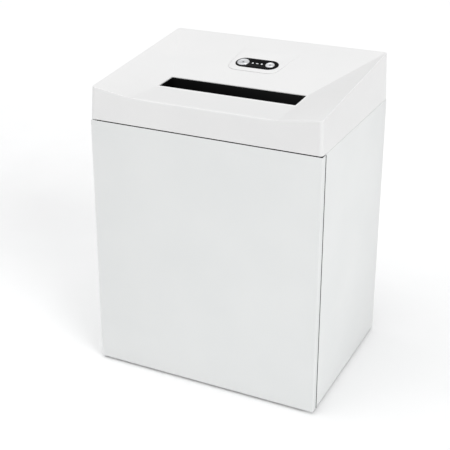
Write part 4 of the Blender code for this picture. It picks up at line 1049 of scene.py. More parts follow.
@dataclass
class Studio:
    """The pale floor, the soft light and the camera.

    Attributes:
        focal: The lens's focal length, in parts of which the frame is `frame_parts` wide.
        frame_parts: How many such parts the frame is wide.
        yaw: How far round to the right of the front the camera stands, in degrees.
        pitch: How far it looks down.
        roll: How far it leans.
        eye: Where it stands.
        shift: How far the lens is shifted across and up.
        sky: The strength that the surround lights the object with.
        suns: The far lights: low from the front right, from above, and from the upper left.
        floor_radius: The floor's radius.
    """

    focal: float = 1050.7
    frame_parts: int = 450
    yaw: float = 27.13
    pitch: float = 22.72
    roll: float = -0.56
    eye: tuple[float, float, float] = (0.8633, -1.8899, 1.2614)
    shift: Point2 = (0.06, -0.09)
    sky: float = 0.44
    suns: tuple[Sun, ...] = (
        Sun("key", 61.0, 27.0, 1.05, 30.0),
        Sun("top", -20.0, 82.0, 1.30, 60.0),
        Sun("fill", -70.0, 45.0, 0.36, 60.0),
    )
    floor_radius: float = 9.0

    def build(self, shop: Workshop) -> None:
        """Make the floor, the lights, the world and the camera.

        Args:
            shop: The workshop.
        """
        self._floor(shop)
        self._lights()
        self._camera()

    def _floor(self, shop: Workshop) -> None:
        """Make a round painted floor that reaches past the edge of sight.

        Args:
            shop: The workshop.
        """
        bm = bmesh.new()
        bmesh.ops.create_circle(bm, cap_ends=True, segments=96, radius=self.floor_radius)
        floor = from_bmesh("studio_floor", bm)
        shop.paint(floor, FLOOR_PAINT)

    def _lights(self) -> None:
        """Make the far lights and an even surround, which looks white and lights at its own strength."""
        world = bpy.data.worlds.new("studio")
        world.use_nodes = True
        tree = Tree(world.node_tree)
        sky = world.node_tree.nodes["Background"]
        sky.inputs["Color"].default_value = (0.985, 0.992, 1.0, 1.0)
        seen = tree.add("ShaderNodeLightPath").outputs["Is Camera Ray"]
        tree.feed(sky, "Strength", tree.remap(seen, 0.0, 1.0, self.sky, 1.0))
        bpy.context.scene.world = world
        for sun in self.suns:
            sun.shine()

    def _camera(self) -> None:
        """Make the camera at the viewing angle and use it."""
        camera = bpy.data.cameras.new("camera")
        camera.sensor_width = 36.0
        camera.lens = self.focal * camera.sensor_width / self.frame_parts
        camera.shift_x, camera.shift_y = self.shift
        obj = bpy.data.objects.new("camera", camera)
        yaw, pitch, roll = (math.radians(angle) for angle in (self.yaw, self.pitch, self.roll))
        back = Vector((math.sin(yaw) * math.cos(pitch), -math.cos(yaw) * math.cos(pitch), math.sin(pitch)))
        right = Vector((math.cos(yaw), math.sin(yaw), 0))
        turned = Matrix((right, back.cross(right), back)).transposed() @ Matrix.Rotation(roll, 3, "Z")
        obj.matrix_world = Matrix.Translation(self.eye) @ turned.to_4x4()
        bpy.context.scene.collection.objects.link(obj)
        bpy.context.scene.camera = obj
        bpy.context.scene.view_settings.view_transform = "Standard"


# ------------ hood


@dataclass
class Hood:
    """The moulded hood, its facets, its holes and its vents.

    Attributes:
        rim_half: Half the rim's width and depth.
        base_half: Half the base's width and depth.
        corner: The upright corners' radius.
        lip_half: Half the length of the low lip in the front rim.
        slot_half: Half the feed slot's length and width.
        slot_centre: The feed slot's middle, in depth.
        levels: The heights of the front rim corners, the back rim, the lip, the slot's front and its back.
        wall: The wall's thickness.
        soften: How far the ridges between the facets are rounded.
        bead: The height and width of the bead round the slot.
        rebate: The height and depth of the shadow line at the foot.
        field: The left, right, lowest and highest line of the raised field round the control panel.
        field_flare: How much its right side leans outward on the way up.
        field_corner: Its lower corners' radius.
        field_tilt: How much less it slopes than the facet, in degrees, so that it fades out at the top.
        field_fade: How far below its top line it meets the facet.
        field_groove: The width and depth of the groove round it.
        side_steps: How many steps the long and the short sides have.
        facet_steps: How many steps go from the rim to the slot.
        vents: How many vents the rear wall has.
        vent_pitch: The distance between them.
        vent_centre: Their middle, across the back.
        vent_half: Half a vent's height and width.
        vent_rise: How high they are above the hood's base.
        panel_hole: Half the length and width of the control panel's hole.
        inlet_hole: Half the width and height of the mains inlet's hole.
        rocker_hole: The same of the mains switch's hole.
    """

    rim_half: Point2 = (0.2467, 0.1887)
    base_half: Point2 = (HOOD_HALF_WIDTH, HOOD_HALF_DEPTH)
    corner: float = 0.007
    lip_half: float = 0.1587
    slot_half: Point2 = (0.1509, 0.0301)
    slot_centre: float = SLOT_CENTRE
    levels: tuple[float, float, float, float, float] = (0.6315, 0.6650, 0.6192, 0.6150, 0.6174)
    wall: float = 0.003
    soften: float = 0.0005
    bead: Point2 = (0.0013, 0.0036)
    rebate: Point2 = (0.0005, 0.0012)
    field: tuple[float, float, float, float] = (-0.0580, 0.0570, -0.0340, 0.0780)
    field_flare: float = 0.22
    field_corner: float = 0.022
    field_tilt: float = 0.5
    field_fade: float = 0.016
    field_groove: Point2 = (0.0012, 0.0010)
    side_steps: tuple[int, int] = (190, 100)
    facet_steps: int = 84
    vents: int = 9
    vent_pitch: float = 0.011
    vent_centre: float = -0.120
    vent_half: Point2 = (0.017, 0.002)
    vent_rise: float = 0.056
    panel_hole: Point2 = (0.0483, 0.0198)
    inlet_hole: Point2 = (0.0136, 0.0101)
    rocker_hole: Point2 = (0.0085, 0.0113)

    def build(self, shop: Workshop) -> None:
        """Make the shell and cut its openings.

        Args:
            shop: The workshop.
        """
        shell = self._shell()
        shell = cut(shell, [self._field_groove()])
        cutters = [plate("panel_hole", [stadium(*self.panel_hole)], 0.020, panel_frame())]
        fittings = (("inlet", INLET_X, self.inlet_hole), ("rocker", ROCKER_X, self.rocker_hole))
        for name, x, (half_x, half_y) in fittings:
            low, high = (-half_x, -half_y, -0.02), (half_x, half_y, 0.02)
            cutters.append(block(f"{name}_hole", low, high, 0, rear_frame(x, FITTING_RISE)))
        upright = Matrix.Rotation(math.pi / 2, 4, "Z")
        for vent in range(self.vents):
            x = self.vent_centre - (vent - (self.vents - 1) / 2) * self.vent_pitch
            frame = rear_frame(x, self.vent_rise) @ upright
            cutters.append(plate(f"vent_{vent}", [stadium(*self.vent_half, steps=6)], 0.024, frame))
        shell = cut(shell, cutters)
        shell.name = "hood_shell"
        shop.place(shell, Body.ROOT, WHITE_PLASTIC, ["hood_cover"])
        shop.place(self._field(), Body.ROOT, WHITE_PLASTIC)

    def _flat_level(self, x: float, y: float) -> float:
        """Return the height of the unsoftened facets at a place.

        Args:
            x: The place across.
            y: The place in depth.

        Returns:
            The height.
        """
        corner, back, lip, front, rear = self.levels
        low_y, high_y = -self.rim_half[1], self.rim_half[1]
        slot_front, slot_back = self.slot_centre - self.slot_half[1], self.slot_centre + self.slot_half[1]
        if y < slot_front:
            share = max(0.0, (y - low_y) / (slot_front - low_y))
            inner = self.lip_half + share * (self.slot_half[0] - self.lip_half)
            level = lip + share * (front - lip)
        elif y < slot_back:
            share = (y - slot_front) / (slot_back - slot_front)
            inner, level = self.slot_half[0], front + share * (rear - front)
        else:
            share = (y - slot_back) / (high_y - slot_back)
            inner = self.slot_half[0] + share * (self.rim_half[0] - self.slot_half[0])
            level = rear + share * (back - rear)
        if abs(x) <= inner:
            return level
        rim = corner + (back - corner) * (y - low_y) / (high_y - low_y)
        return level + (rim - level) * (abs(x) - inner) / max(self.rim_half[0] - inner, 0.0005)

    def _level(self, x: float, y: float) -> float:
        """Return the height of the softened facets.

        Args:
            x: The place across.
            y: The place in depth.

        Returns:
            The height.
        """
        back = self.rim_half[1]
        return sum(weight * self._flat_level(x + dx, min(y + dy, back)) for dx, dy, weight in self._spread())

    def _spread(self) -> list[tuple[float, float, float]]:
        """Return the offsets and weights that round the ridges.

        Returns:
            Offsets across and in depth, each with its weight.
        """
        reach = self.soften
        angles = [step * math.pi / 4 for step in range(8)]
        ring = [(reach * math.cos(angle), reach * math.sin(angle), 0.5 / 8) for angle in angles]
        near = [(0.5 * x, 0.5 * y, 0.35 / 8) for x, y, _ in ring]
        return [(0.0, 0.0, 0.15), *ring, *near]

    def _field_edge(self, grow: float) -> list[Point2]:
        """Return the field's edge, down its left side, along the bottom and up its right side.

        Args:
            grow: How far it is grown outward.

        Returns:
            The edge's points on the back facet.
        """
        left, right, low, high = self.field
        radius = self.field_corner
        points = [(left - grow, high)]
        for x, start in ((left + radius, -math.pi), (right - radius, -math.pi / 2)):
            for step in range(13):
                angle = start + step * math.pi / 24
                reach = radius + grow
                points.append((x + reach * math.cos(angle), low + radius + reach * math.sin(angle)))
        points.append((right + grow + self.field_flare * (high - low - radius), high))
        return points

    def _field(self) -> bpy.types.Object:
        """Make the field that stands out round the control panel and fades into the facet above it.

        Returns:
            The field.
        """
        tilt = math.radians(self.field_tilt)
        lift = math.tan(tilt) * (self.field[3] - self.field_fade)
        frame = panel_frame(lift=lift) @ Matrix.Rotation(-tilt, 4, "X")
        loops = [self._field_edge(0.0), stadium(*self.panel_hole)]
        thickness = 0.0024
        sunk = frame @ Matrix.Translation((0, 0, -thickness / 2))
        return plate("panel_field", loops, thickness, sunk, 0.0004)

    def _field_groove(self) -> bpy.types.Object:
        """Make the cutter for the groove round the field, which grows shallower on the way up.

        Returns:
            The cutter.
        """
        width, depth = self.field_groove
        tilt = depth / (self.field[3] - self.field[2])
        thickness = 0.006
        lift = thickness / 2 - depth - tilt * self.field[2]
        frame = panel_frame(lift=lift) @ Matrix.Rotation(tilt, 4, "X")
        band = self._field_edge(width) + self._field_edge(-0.0002)[::-1]
        return plate("field_groove", [band], thickness, frame)

    def _outline(self, half: Point2, radius: float, centre: float = 0.0) -> list[Point2]:
        """Return a rounded rectangle whose points match those of every other outline of the hood.

        Args:
            half: Half the width and depth.
            radius: The corners' radius.
            centre: The middle, in depth.

        Returns:
            The outline's points.
        """
        points: list[Point2] = []
        corners = ((1, -1, -math.pi / 2), (1, 1, 0.0), (-1, 1, math.pi / 2), (-1, -1, math.pi))
        for index, (sx, sy, start) in enumerate(corners):
            middle = (sx * (half[0] - radius), centre + sy * (half[1] - radius))
            for step in range(7):
                angle = start + step * math.pi / 12
                points.append((middle[0] + radius * math.cos(angle), middle[1] + radius * math.sin(angle)))
            tx, ty, turn = corners[(index + 1) % 4]
            following = (
                tx * (half[0] - radius) + radius * math.cos(turn),
                centre + ty * (half[1] - radius) + radius * math.sin(turn),
            )
            last = points[-1]
            steps = self.side_steps[1 if index % 2 == 0 else 0]
            for step in range(1, steps):
                share = step / steps
                x = last[0] + share * (following[0] - last[0])
                y = last[1] + share * (following[1] - last[1])
                points.append((x, y))
        return points

    def _roll(self, x: float, y: float) -> float:
        """Return how far the rim's edge is rolled: widely over the front lip, tightly elsewhere.

        Args:
            x: The place across.
            y: The place in depth.

        Returns:
            The roll's reach.
        """
        if y > -self.rim_half[1] + 0.004:
            return 0.0020
        share = min(1.0, max(0.0, (self.lip_half - 0.004 - abs(x)) / 0.030))
        return 0.0016 + 0.0022 * share * share * (3 - 2 * share)

    def _section(
        self, base: Point2, rim: Point2, slot: Point2, inner_base: Point2, inner_rim: Point2
    ) -> list[Vector]:
        """Return one closed section of the shell, from its foot over the rim to the slot and back inside.

        Args:
            base: The place of the foot.
            rim: The place of the rim.
            slot: The place of the slot's edge.
            inner_base: The place of the foot's inner side.
            inner_rim: The place of the rim's inner side.

        Returns:
            The section's points.
        """
        foot = Vector((*base, HOOD_BASE + self.rebate[0]))
        top = Vector((*rim, self._level(*rim)))
        run = Vector((slot[0] - rim[0], slot[1] - rim[1]))
        roll = self._roll(*rim)
        upright = (top - foot).normalized()
        start = top - roll * upright

        def on_facet(distance: float) -> Vector:
            """Return the place on the facets at a distance from the rim."""
            place = Vector(rim) + run * distance / run.length
            return Vector((place.x, place.y, self._level(place.x, place.y)))

        end = on_facet(roll)
        inner_foot = Vector((*inner_base, HOOD_BASE))
        recess = foot.lerp(Vector((*inner_base, foot.z)), self.rebate[1] / self.wall)
        points = [Vector((recess.x, recess.y, HOOD_BASE)), recess, foot, foot.lerp(start, 0.5), start]
        for step in range(1, 6):
            t = step / 6
            points.append(start * (1 - t) ** 2 + top * (2 * t * (1 - t)) + end * t**2)
        lip = 0.0010
        height, width = self.bead
        for step in range(self.facet_steps + 1):
            points.append(on_facet(roll + (run.length - width - roll) * step / self.facet_steps))
        for step in range(1, 6):
            swell = height * math.sin(math.pi / 2 * step / 5) ** 2
            points.append(on_facet(run.length - width + (width - lip) * step / 5) + Vector((0, 0, swell)))
        edge = on_facet(run.length) + Vector((0, 0, height))
        brow, low = points[-1], edge - Vector((0, 0, lip))
        for step in (1, 2, 3):
            t = step / 3
            points.append(brow * (1 - t) ** 2 + edge * (2 * t * (1 - t)) + low * t**2)
        points.append(edge - Vector((0, 0, self.wall)))
        inner = Vector((*inner_rim, top.z - self.wall))
        back = Vector((slot[0] - inner_rim[0], slot[1] - inner_rim[1]))
        for step in range(1, 11):
            distance = 0.004 + (back.length - 0.004) * (1 - step / 10)
            place = Vector(inner_rim) + back * distance / back.length
            points.append(Vector((place.x, place.y, self._level(place.x, place.y) - self.wall - 0.0001)))
        points.append(inner - 0.005 * upright)
        points.append(inner_foot)
        return points

    def _shell(self) -> bpy.types.Object:
        """Join the sections all the way round into one closed shell.

        Returns:
            The shell.
        """
        wall = self.wall
        outlines = (
            self._outline(self.base_half, self.corner),
            self._outline(self.rim_half, self.corner),
            self._outline(self.slot_half, 0.0012, self.slot_centre),
            self._outline((self.base_half[0] - wall, self.base_half[1] - wall), self.corner - wall),
            self._outline((self.rim_half[0] - wall, self.rim_half[1] - wall), self.corner - wall),
        )
        bm = bmesh.new()
        sections = [[bm.verts.new(point) for point in self._section(*places)] for places in zip(*outlines)]
        for left, right in zip(sections, sections[1:] + sections[:1]):
            count = len(left)
            for step in range(count):
                following = (step + 1) % count
                bm.faces.new((left[step], right[step], right[following], left[following]))
        return from_bmesh("hood_shell", bm)


# ------------ control panel


@dataclass
class ControlPanel:
    """The bezel, the two buttons, the three lights and the board under them.

    Attributes:
        half: Half the bezel's length and width.
        proud: How far the bezel stands out of the hood.
        depth: How far it goes in.
        start: The start button's place along the panel and its radius.
        reverse: The reverse button's place along the panel and its radius.
        lights: The middle of the three lights and the distance between them.
        button_proud: How far the buttons stand out.
        board_depth: How deep the circuit board lies.
        collar: The width of the black ring round each button's face.
        collar_proud: How far that ring stands out.
        dot: The radius of the two round windows.
        dash: Half the length and half the height of the long window.
    """

    half: Point2 = (0.048, 0.0195)
    proud: float = 0.0011
    depth: float = 0.0034
    start: Point2 = (-0.0315, 0.0140)
    reverse: Point2 = (0.0298, 0.0108)
    lights: Point2 = (0.00075, 0.0102)
    button_proud: float = 0.0026
    board_depth: float = 0.013
    collar: float = 0.0008
    collar_proud: float = 0.0008
    dot: float = 0.0023
    dash: Point2 = (0.0031, 0.0012)

    def build(self, shop: Workshop) -> None:
        """Make the bezel and the caps, and dress the lights and the board.

        Args:
            shop: The workshop.
        """
        middle, spacing = self.lights
        loops = [
            stadium(*self.half),
            circle(self.start[1] + 0.0004, (self.start[0], 0)),
            circle(self.reverse[1] + 0.0004, (self.reverse[0], 0)),
            circle(self.dot, (middle - spacing, 0), 24),
            stadium(*self.dash, (middle, 0), 8),
            circle(self.dot, (middle + spacing, 0), 24),
        ]
        thickness = self.proud + self.depth
        bezel = plate("panel_bezel", loops, thickness, panel_frame(lift=self.proud - thickness / 2), 0.0005)
        shop.place(bezel, Body.ROOT, GLOSS_BLACK, ["control_bezel"])
        self._cap(shop, "start", self.start, Body.START, "start_button")
        self._cap(shop, "reverse", self.reverse, Body.REVERSE, "reverse_button")
        self._symbols(shop)
        self._lights(shop)
        shop.dress("control_board", GREEN_BOARD)
        self._parts(shop)

    def _cap(self, shop: Workshop, name: str, place: Point2, body: Body, node: str) -> None:
        """Make one button: a dished silver cap in a lower black collar, on its stem.

        Args:
            shop: The workshop.
            name: The button's name.
            place: Its place along the panel and its radius.
            body: The body that it moves with.
            node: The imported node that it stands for.
        """
        x, radius = place
        frame = panel_frame(x)
        face = radius - self.collar
        top, foot = self.button_proud, -self.board_depth + 0.0044
        dish = 0.0013
        shares = (0, 0.2, 0.4, 0.55, 0.68, 0.80)
        profile = [(face * share, top - dish * (1 - (share / shares[-1]) ** 2)) for share in shares]
        profile += [(face * 0.85, top + 0.0001), (face * 0.91, top - 0.0002), (face * 0.96, top - 0.0008)]
        profile += [(face, top - 0.0018), (face, -0.002), (0.004, -0.002), (0.004, foot), (0.0, foot)]
        shop.place(lathe(f"{name}_cap", profile, frame, 72), body, SILVER, [node])
        rise = self.collar_proud
        ring = [(face - 0.0002, rise), (radius - 0.0006, rise), (radius - 0.0001, rise - 0.0005)]
        ring += [(radius - 0.0001, -0.003), (face - 0.0002, -0.003)]
        shop.place(lathe(f"{name}_collar", ring, frame, 72, True), body, GLOSS_BLACK)

    def _symbols(self, shop: Workshop) -> None:
        """Make the plain arrow on each button: forwards on the first, backwards on the second.

        Args:
            shop: The workshop.
        """
        level = self.button_proud - 0.0013
        for name, (x, _), way, size, body in (
            ("start", self.start, 1, 0.0032, Body.START),
            ("reverse", self.reverse, -1, 0.0026, Body.REVERSE),
        ):
            points = [(-0.5 * size, way * -0.8 * size), (0.9 * size, 0.0), (-0.5 * size, way * 0.8 * size)]
            arrow = [(way * px, py) for px, py in points]
            sign = plate(f"{name}_arrow", [arrow], 0.0008, panel_frame(x, 0, level + 0.0002), 0.0001)
            shop.place(sign, body, BIN_GREY)

    def _lights(self, shop: Workshop) -> None:
        """Make the light guide: a strip under the bezel with a lens in each window.

        Args:
            shop: The workshop.
        """
        middle, spacing = self.lights
        low, high = -self.depth - 0.0023, -self.depth - 0.0003
        left, right = middle - spacing - 0.003, middle + spacing + 0.003
        strip = block("strip", (left, -0.003, low), (right, 0.003, high), 0.0003, panel_frame())
        rise = self.proud + 0.0002 - high + 0.0005
        frame = panel_frame(lift=high - 0.0005 + rise / 2)
        dots = []
        for way in (-1, 1):
            window = circle(self.dot - 0.0002, (middle + way * spacing, 0), 24)
            dots.append(plate(f"dot_{way}", [window], rise, frame, 0.0003))
        window = stadium(self.dash[0] - 0.0002, self.dash[1] - 0.0002, (middle, 0), 8)
        dash = plate("dash", [window], rise, frame, 0.0003)
        shop.place(merged("light_lenses", [strip, *dots, dash]), Body.ROOT, CLEAR_LENS, ["light_guide"])

    def _parts(self, shop: Workshop) -> None:
        """Make the board's switches, relay, capacitors, chip and connector.

        Args:
            shop: The workshop.
        """
        top = -self.board_depth + 0.0016
        frame = panel_frame()
        switches = []
        for index, (x, _) in enumerate((self.start, self.reverse)):
            low, high = (x - 0.003, -0.003, top), (x + 0.003, 0.003, top + 0.0008)
            body = block(f"switch_{index}", low, high, 0.0002, frame)
            profile = [(0, 0.0012), (0.0014, 0.0012), (0.0016, 0.0010), (0.0016, 0), (0, 0)]
            stud = lathe(f"stud_{index}", profile, frame @ Matrix.Translation((x, 0, top)), 24)
            switches += [body, stud]
        chip = block("chip", (-0.014, 0.008, top), (-0.006, 0.014, top + 0.0016), 0.0002, frame)
        relay = block("relay", (0.006, 0.006, top), (0.018, 0.0155, top + 0.0075), 0.0005, frame)
        under = -self.board_depth
        plug = block("plug", (-0.0365, 0.0080, under - 0.006), (-0.0235, 0.0150, under), 0.0004, frame)
        shop.place(merged("board_parts", [*switches, chip, relay, plug]), Body.ROOT, BLACK_PLASTIC)
        cans = []
        for index, (x, y) in enumerate(((-0.045, 0.011), (-0.045, -0.010), (0.045, 0.011), (0.0, -0.012))):
            profile = [(0, 0.0068), (0.0028, 0.0068), (0.0031, 0.0064), (0.0031, 0.0012), (0.0028, 0.0009)]
            profile += [(0.0031, 0.0005), (0.0031, 0), (0, 0)]
            cans.append(lathe(f"can_{index}", profile, frame @ Matrix.Translation((x, y, top)), 24))
        shop.place(merged("board_cans", cans), Body.ROOT, ALUMINIUM)
        places = [(sx * 0.0485, sy * 0.0150, top) for sx in (-1, 1) for sy in (-1, 1)]
        frames = [frame @ Matrix.Translation(place) for place in places]
        shop.place(Screws(0.0026, 0.0013).set("board_screws", frames), Body.ROOT, STEEL)


# ------------ cabinet


@dataclass
class Cabinet:
    """The laminated boards, the glides under them and the fixings that show.

    Attributes:
        boards: The board nodes that are carried over.
        screw_columns: Where the back panel's screws stand across the back.
        screw_rows: The heights of the floor's and the shelf's edge, which those screws go into.
        cap_places: Where the caps over the shelf's fixings are, in plan.
        shelf_underside: The shelf's lower face.
    """

    boards: tuple[str, ...] = (
        "cabinet_side_left", "cabinet_side_right", "cabinet_back_panel", "cabinet_floor",
        "head_shelf", "front_rail",
    )
    screw_columns: tuple[float, ...] = (-0.205, -0.070, 0.070, 0.205)
    screw_rows: Point2 = (0.014, 0.494)
    cap_places: tuple[Point2, ...] = ((-0.205, -0.110), (-0.205, 0.130), (0.205, -0.110), (0.205, 0.130))
    shelf_underside: float = 0.4862

    def build(self, shop: Workshop) -> None:
        """Dress the boards and the glides, and make the screws and the caps.

        Args:
            shop: The workshop.
        """
        shop.dress(self.boards, WHITE_LAMINATE, 0.0003)
        glides = [f"glide_{end}_{side}" for end in ("front", "rear") for side in ("left", "right")]
        shop.dress(glides, BLACK_PLASTIC, 0.0004)
        places = [(x, HOOD_HALF_DEPTH, z) for z in self.screw_rows for x in self.screw_columns]
        frames = [along((0, 1, 0), place) for place in places]
        shop.place(Screws(0.0036, 0.0012).set("back_screws", frames), Body.ROOT, STEEL)
        frames = [rear_frame(x, 0.013) for x in (-0.215, 0.0, 0.215)]
        shop.place(Screws(0.0036, 0.0014).set("hood_screws", frames), Body.ROOT, STEEL)
        profile = [(0, 0.0007), (0.0070, 0.0007), (0.0076, 0.0003), (0.0077, -0.0003), (0, -0.0003)]
        caps = [
            lathe(f"cap_{index}", profile, along((0, 0, -1), (x, y, self.shelf_underside)), 40)
            for index, (x, y) in enumerate(self.cap_places)
        ]
        shop.place(merged("fixing_caps", caps), Body.ROOT, WHITE_PLASTIC)


@dataclass
class Door:
    """The door, what is fixed to it, and what it meets on the cabinet.

    Attributes:
        pivot: The hinge line in plan.
        leaf_levels: The outer faces of the top and the bottom pivot leaf.
        strike: The strike plate's middle and its inner face's depth.
        catch: The catch's lowest and highest corner across and up, and its face's depth.
    """

    pivot: Point2 = (-0.244, -0.1855)
    leaf_levels: Point2 = (0.5625, 0.0045)
    strike: tuple[float, float, float] = (0.2197, -0.172, 0.4752)
    catch: tuple[float, float, float] = (0.2105, 0.2329, -0.1718)

    def build(self, shop: Workshop) -> None:
        """Dress the door and its furniture, make the black strips that paint the shade in its seams, and make
        the screws and the catch's poles.

        Args:
            shop: The workshop.
        """
        shop.dress("door_panel", WHITE_LAMINATE, 0.0003)
        shop.dress(["pivot_bush_top", "pivot_bush_bottom"], NYLON, 0.0002)
        shop.dress(["pivot_leaf_top", "pivot_leaf_bottom", "strike_plate"], STEEL, 0.0002)
        shop.dress(["door_magnet", "magnet_catch", "door_reed_switch"], BLACK_PLASTIC, 0.0002)
        # Thin black strips on the door's top and latch-side edges paint the shade in the seams round the
        # door.
        across = block("seam_shade_top", (-0.2360, -0.1912, 0.5608), (0.2494, -0.1760, 0.5619), 0.0003)
        upright = block("seam_shade_side", (0.2350, -0.1747, 0.0060), (0.2503, -0.1717, 0.5600), 0.0003)
        shop.place(merged("door_seam_shade", [across, upright]), Body.DOOR, SEAM_SHADE_BLACK)
        flat = Screws(0.0027, 0.0003)
        frames = []
        for level, way in zip(self.leaf_levels, (1, -1)):
            frames += [along((0, 0, way), (self.pivot[0], y, level)) for y in (-0.152, -0.124)]
        shop.place(flat.set("leaf_screws", frames), Body.ROOT, STEEL)
        x, y, z = self.strike
        frames = [along((0, 1, 0), (x + offset, y, z)) for offset in (-0.0075, 0.0075)]
        shop.place(flat.set("strike_screws", frames), Body.DOOR, STEEL)
        low, high, face = self.catch
        poles = [block(f"pole_{level}", (low, face, level), (high, face + 0.0020, level + 0.0014), 0.0003)
                 for level in (0.4702, 0.4800)]
        shop.place(merged("catch_poles", poles), Body.ROOT, STEEL)


# ------------ waste bin


@dataclass
class WasteBin:
    """The moulded bin with its rolled rim, its stacking step and its hand hole.

    Attributes:
        half: Half the width and depth at the top.
        centre: The middle, in depth.
        levels: The bottom and the top.
        draft: How much narrower each side is at the bottom.
        corner: The upright corners' radius.
        wall: The wall's thickness.
        hand_hole: Half the hand hole's length, its radius and its height above the floor.
    """

    half: Point2 = (0.2217, 0.16585)
    centre: float = 0.00385
    levels: Point2 = (0.0223, 0.4625)
    draft: float = 0.009
    corner: float = 0.014
    wall: float = 0.0025
    hand_hole: tuple[float, float, float] = (0.055, 0.015, 0.4205)

    def build(self, shop: Workshop) -> None:
        """Make the tub and the grip round its hand hole.

        Args:
            shop: The workshop.
        """
        length, radius, height = self.hand_hole
        lean = math.atan2(self.draft, self.levels[1] - self.levels[0])
        front = self.centre - self._half(height)[1]
        frame = along((0, -math.cos(lean), -math.sin(lean)), (0, front, height))
        tub = cut(self._tub(), [plate("hand_hole", [stadium(length, radius)], 0.030, frame)])
        tub.name = "bin_tub"
        loops = [stadium(length + 0.0042, radius + 0.0042), stadium(length - 0.0002, radius - 0.0002)]
        grip = plate("bin_grip", loops, 0.0052, frame @ Matrix.Translation((0, 0, -0.0010)), 0.0009)
        shop.place(tub, Body.ROOT, BIN_GREY, ["waste_bin"])
        shop.place(grip, Body.ROOT, BIN_GREY)

    def _half(self, z: float) -> Point2:
        """Return half the width and depth at a height."""
        share = (self.levels[1] - z) / (self.levels[1] - self.levels[0])
        return self.half[0] - share * self.draft, self.half[1] - share * self.draft

    def _ring(self, bm: bmesh.types.BMesh, grow: float, z: float) -> list[bmesh.types.BMVert]:
        """Return a rounded rectangle of vertices, grown outward from the wall's outer face.

        Args:
            bm: The bmesh to add to.
            grow: How far it is grown outward.
            z: Its height.

        Returns:
            The vertices.
        """
        half_x, half_y = self._half(z)
        radius = max(0.003, self.corner + grow)
        points = []
        for sx, sy, start in ((1, -1, -90), (1, 1, 0), (-1, 1, 90), (-1, -1, 180)):
            x, y = sx * (half_x + grow - radius), self.centre + sy * (half_y + grow - radius)
            for step in range(9):
                angle = math.radians(start + step * 11.25)
                points.append(bm.verts.new((x + radius * math.cos(angle), y + radius * math.sin(angle), z)))
        return points

    def _tub(self) -> bpy.types.Object:
        """Make the tub from rings: up the outside, over the rim, down the inside.

        Returns:
            The tub.
        """
        low, top = self.levels
        wall = self.wall
        path = [(-0.0060, low), (-0.0020, low + 0.0006), (-0.0006, low + 0.0022), (0.0, low + 0.0055)]
        path += [(0.0, low + 0.3300), (0.0009, low + 0.3350), (0.0009, top - 0.0140)]
        path += [(0.0009, top - 0.0034), (0.0016, top - 0.0028), (0.0030, top - 0.0028)]
        path += [(0.0031, top - 0.0080), (0.0044, top - 0.0084)]
        path += [(0.0050, top - 0.0080), (0.0050, top - 0.0012), (0.0044, top - 0.0003), (0.0034, top)]
        path += [(-0.0008, top), (-0.0014, top - 0.0003), (-0.0016, top - 0.0010)]
        path += [(0.0009 - wall, low + 0.3355), (-wall, low + 0.3305), (-wall, low + 0.0080)]
        path += [(-wall - 0.0008, low + 0.0045), (-0.0068, low + wall)]
        bm = bmesh.new()
        rings = [self._ring(bm, grow, z) for grow, z in path]
        for lower, upper in zip(rings, rings[1:]):
            for step in range(len(lower)):
                following = (step + 1) % len(lower)
                bm.faces.new((lower[step], lower[following], upper[following], upper[step]))
        bm.faces.new(rings[0])
        bm.faces.new(rings[-1])
        return from_bmesh("bin_tub", bm)


# ------------ feed throat


@dataclass
class FeedThroat:
    """The funnel under the slot, with its guide ribs, and the paper sensor on it.

    Attributes:
        top: How far the inner faces stand from the slot's middle at the top, and their height there.
        foot: The same at the neck.
        centre: The slot's middle, in depth.
        ribs: How many ribs each wall has.
        pitch: The distance between them.
    """

    top: Point2 = (0.0272, 0.6110)
    foot: Point2 = (0.0058, 0.5690)
    centre: float = SLOT_CENTRE
    ribs: int = 12
    pitch: float = 0.0245

    def build(self, shop: Workshop) -> None:
        """Dress the funnel and the sensor, and make the ribs.

        Args:
            shop: The workshop.
        """
        # The funnel and its ribs get the darker black as painted shade inside the throat.
        shop.dress("feed_throat", THROAT_SHADE_BLACK, 0.0003)
        shop.dress("paper_sensor", BLACK_PLASTIC, 0.0003)
        ribs = []
        for side in (-1, 1):
            start = Vector((0, self.centre + side * self.top[0], self.top[1]))
            end = Vector((0, self.centre + side * self.foot[0], self.foot[1]))
            run = (end - start).normalized()
            inward = run.cross(Vector((side, 0, 0)))
            turned = Matrix((Vector((side, 0, 0)), inward, run)).transposed()
            frame = Matrix.Translation(start) @ turned.to_4x4()
            length = (end - start).length
            for rib in range(self.ribs):
                x = (rib - (self.ribs - 1) / 2) * self.pitch
                low, high = (x - 0.0007, -0.0022, 0), (x + 0.0007, 0.0008, length)
                ribs.append(block(f"rib_{side}_{rib}", low, high, 0.0002, frame))
        shop.place(merged("throat_ribs", ribs), Body.ROOT, THROAT_SHADE_BLACK)


# ------------ cutting head


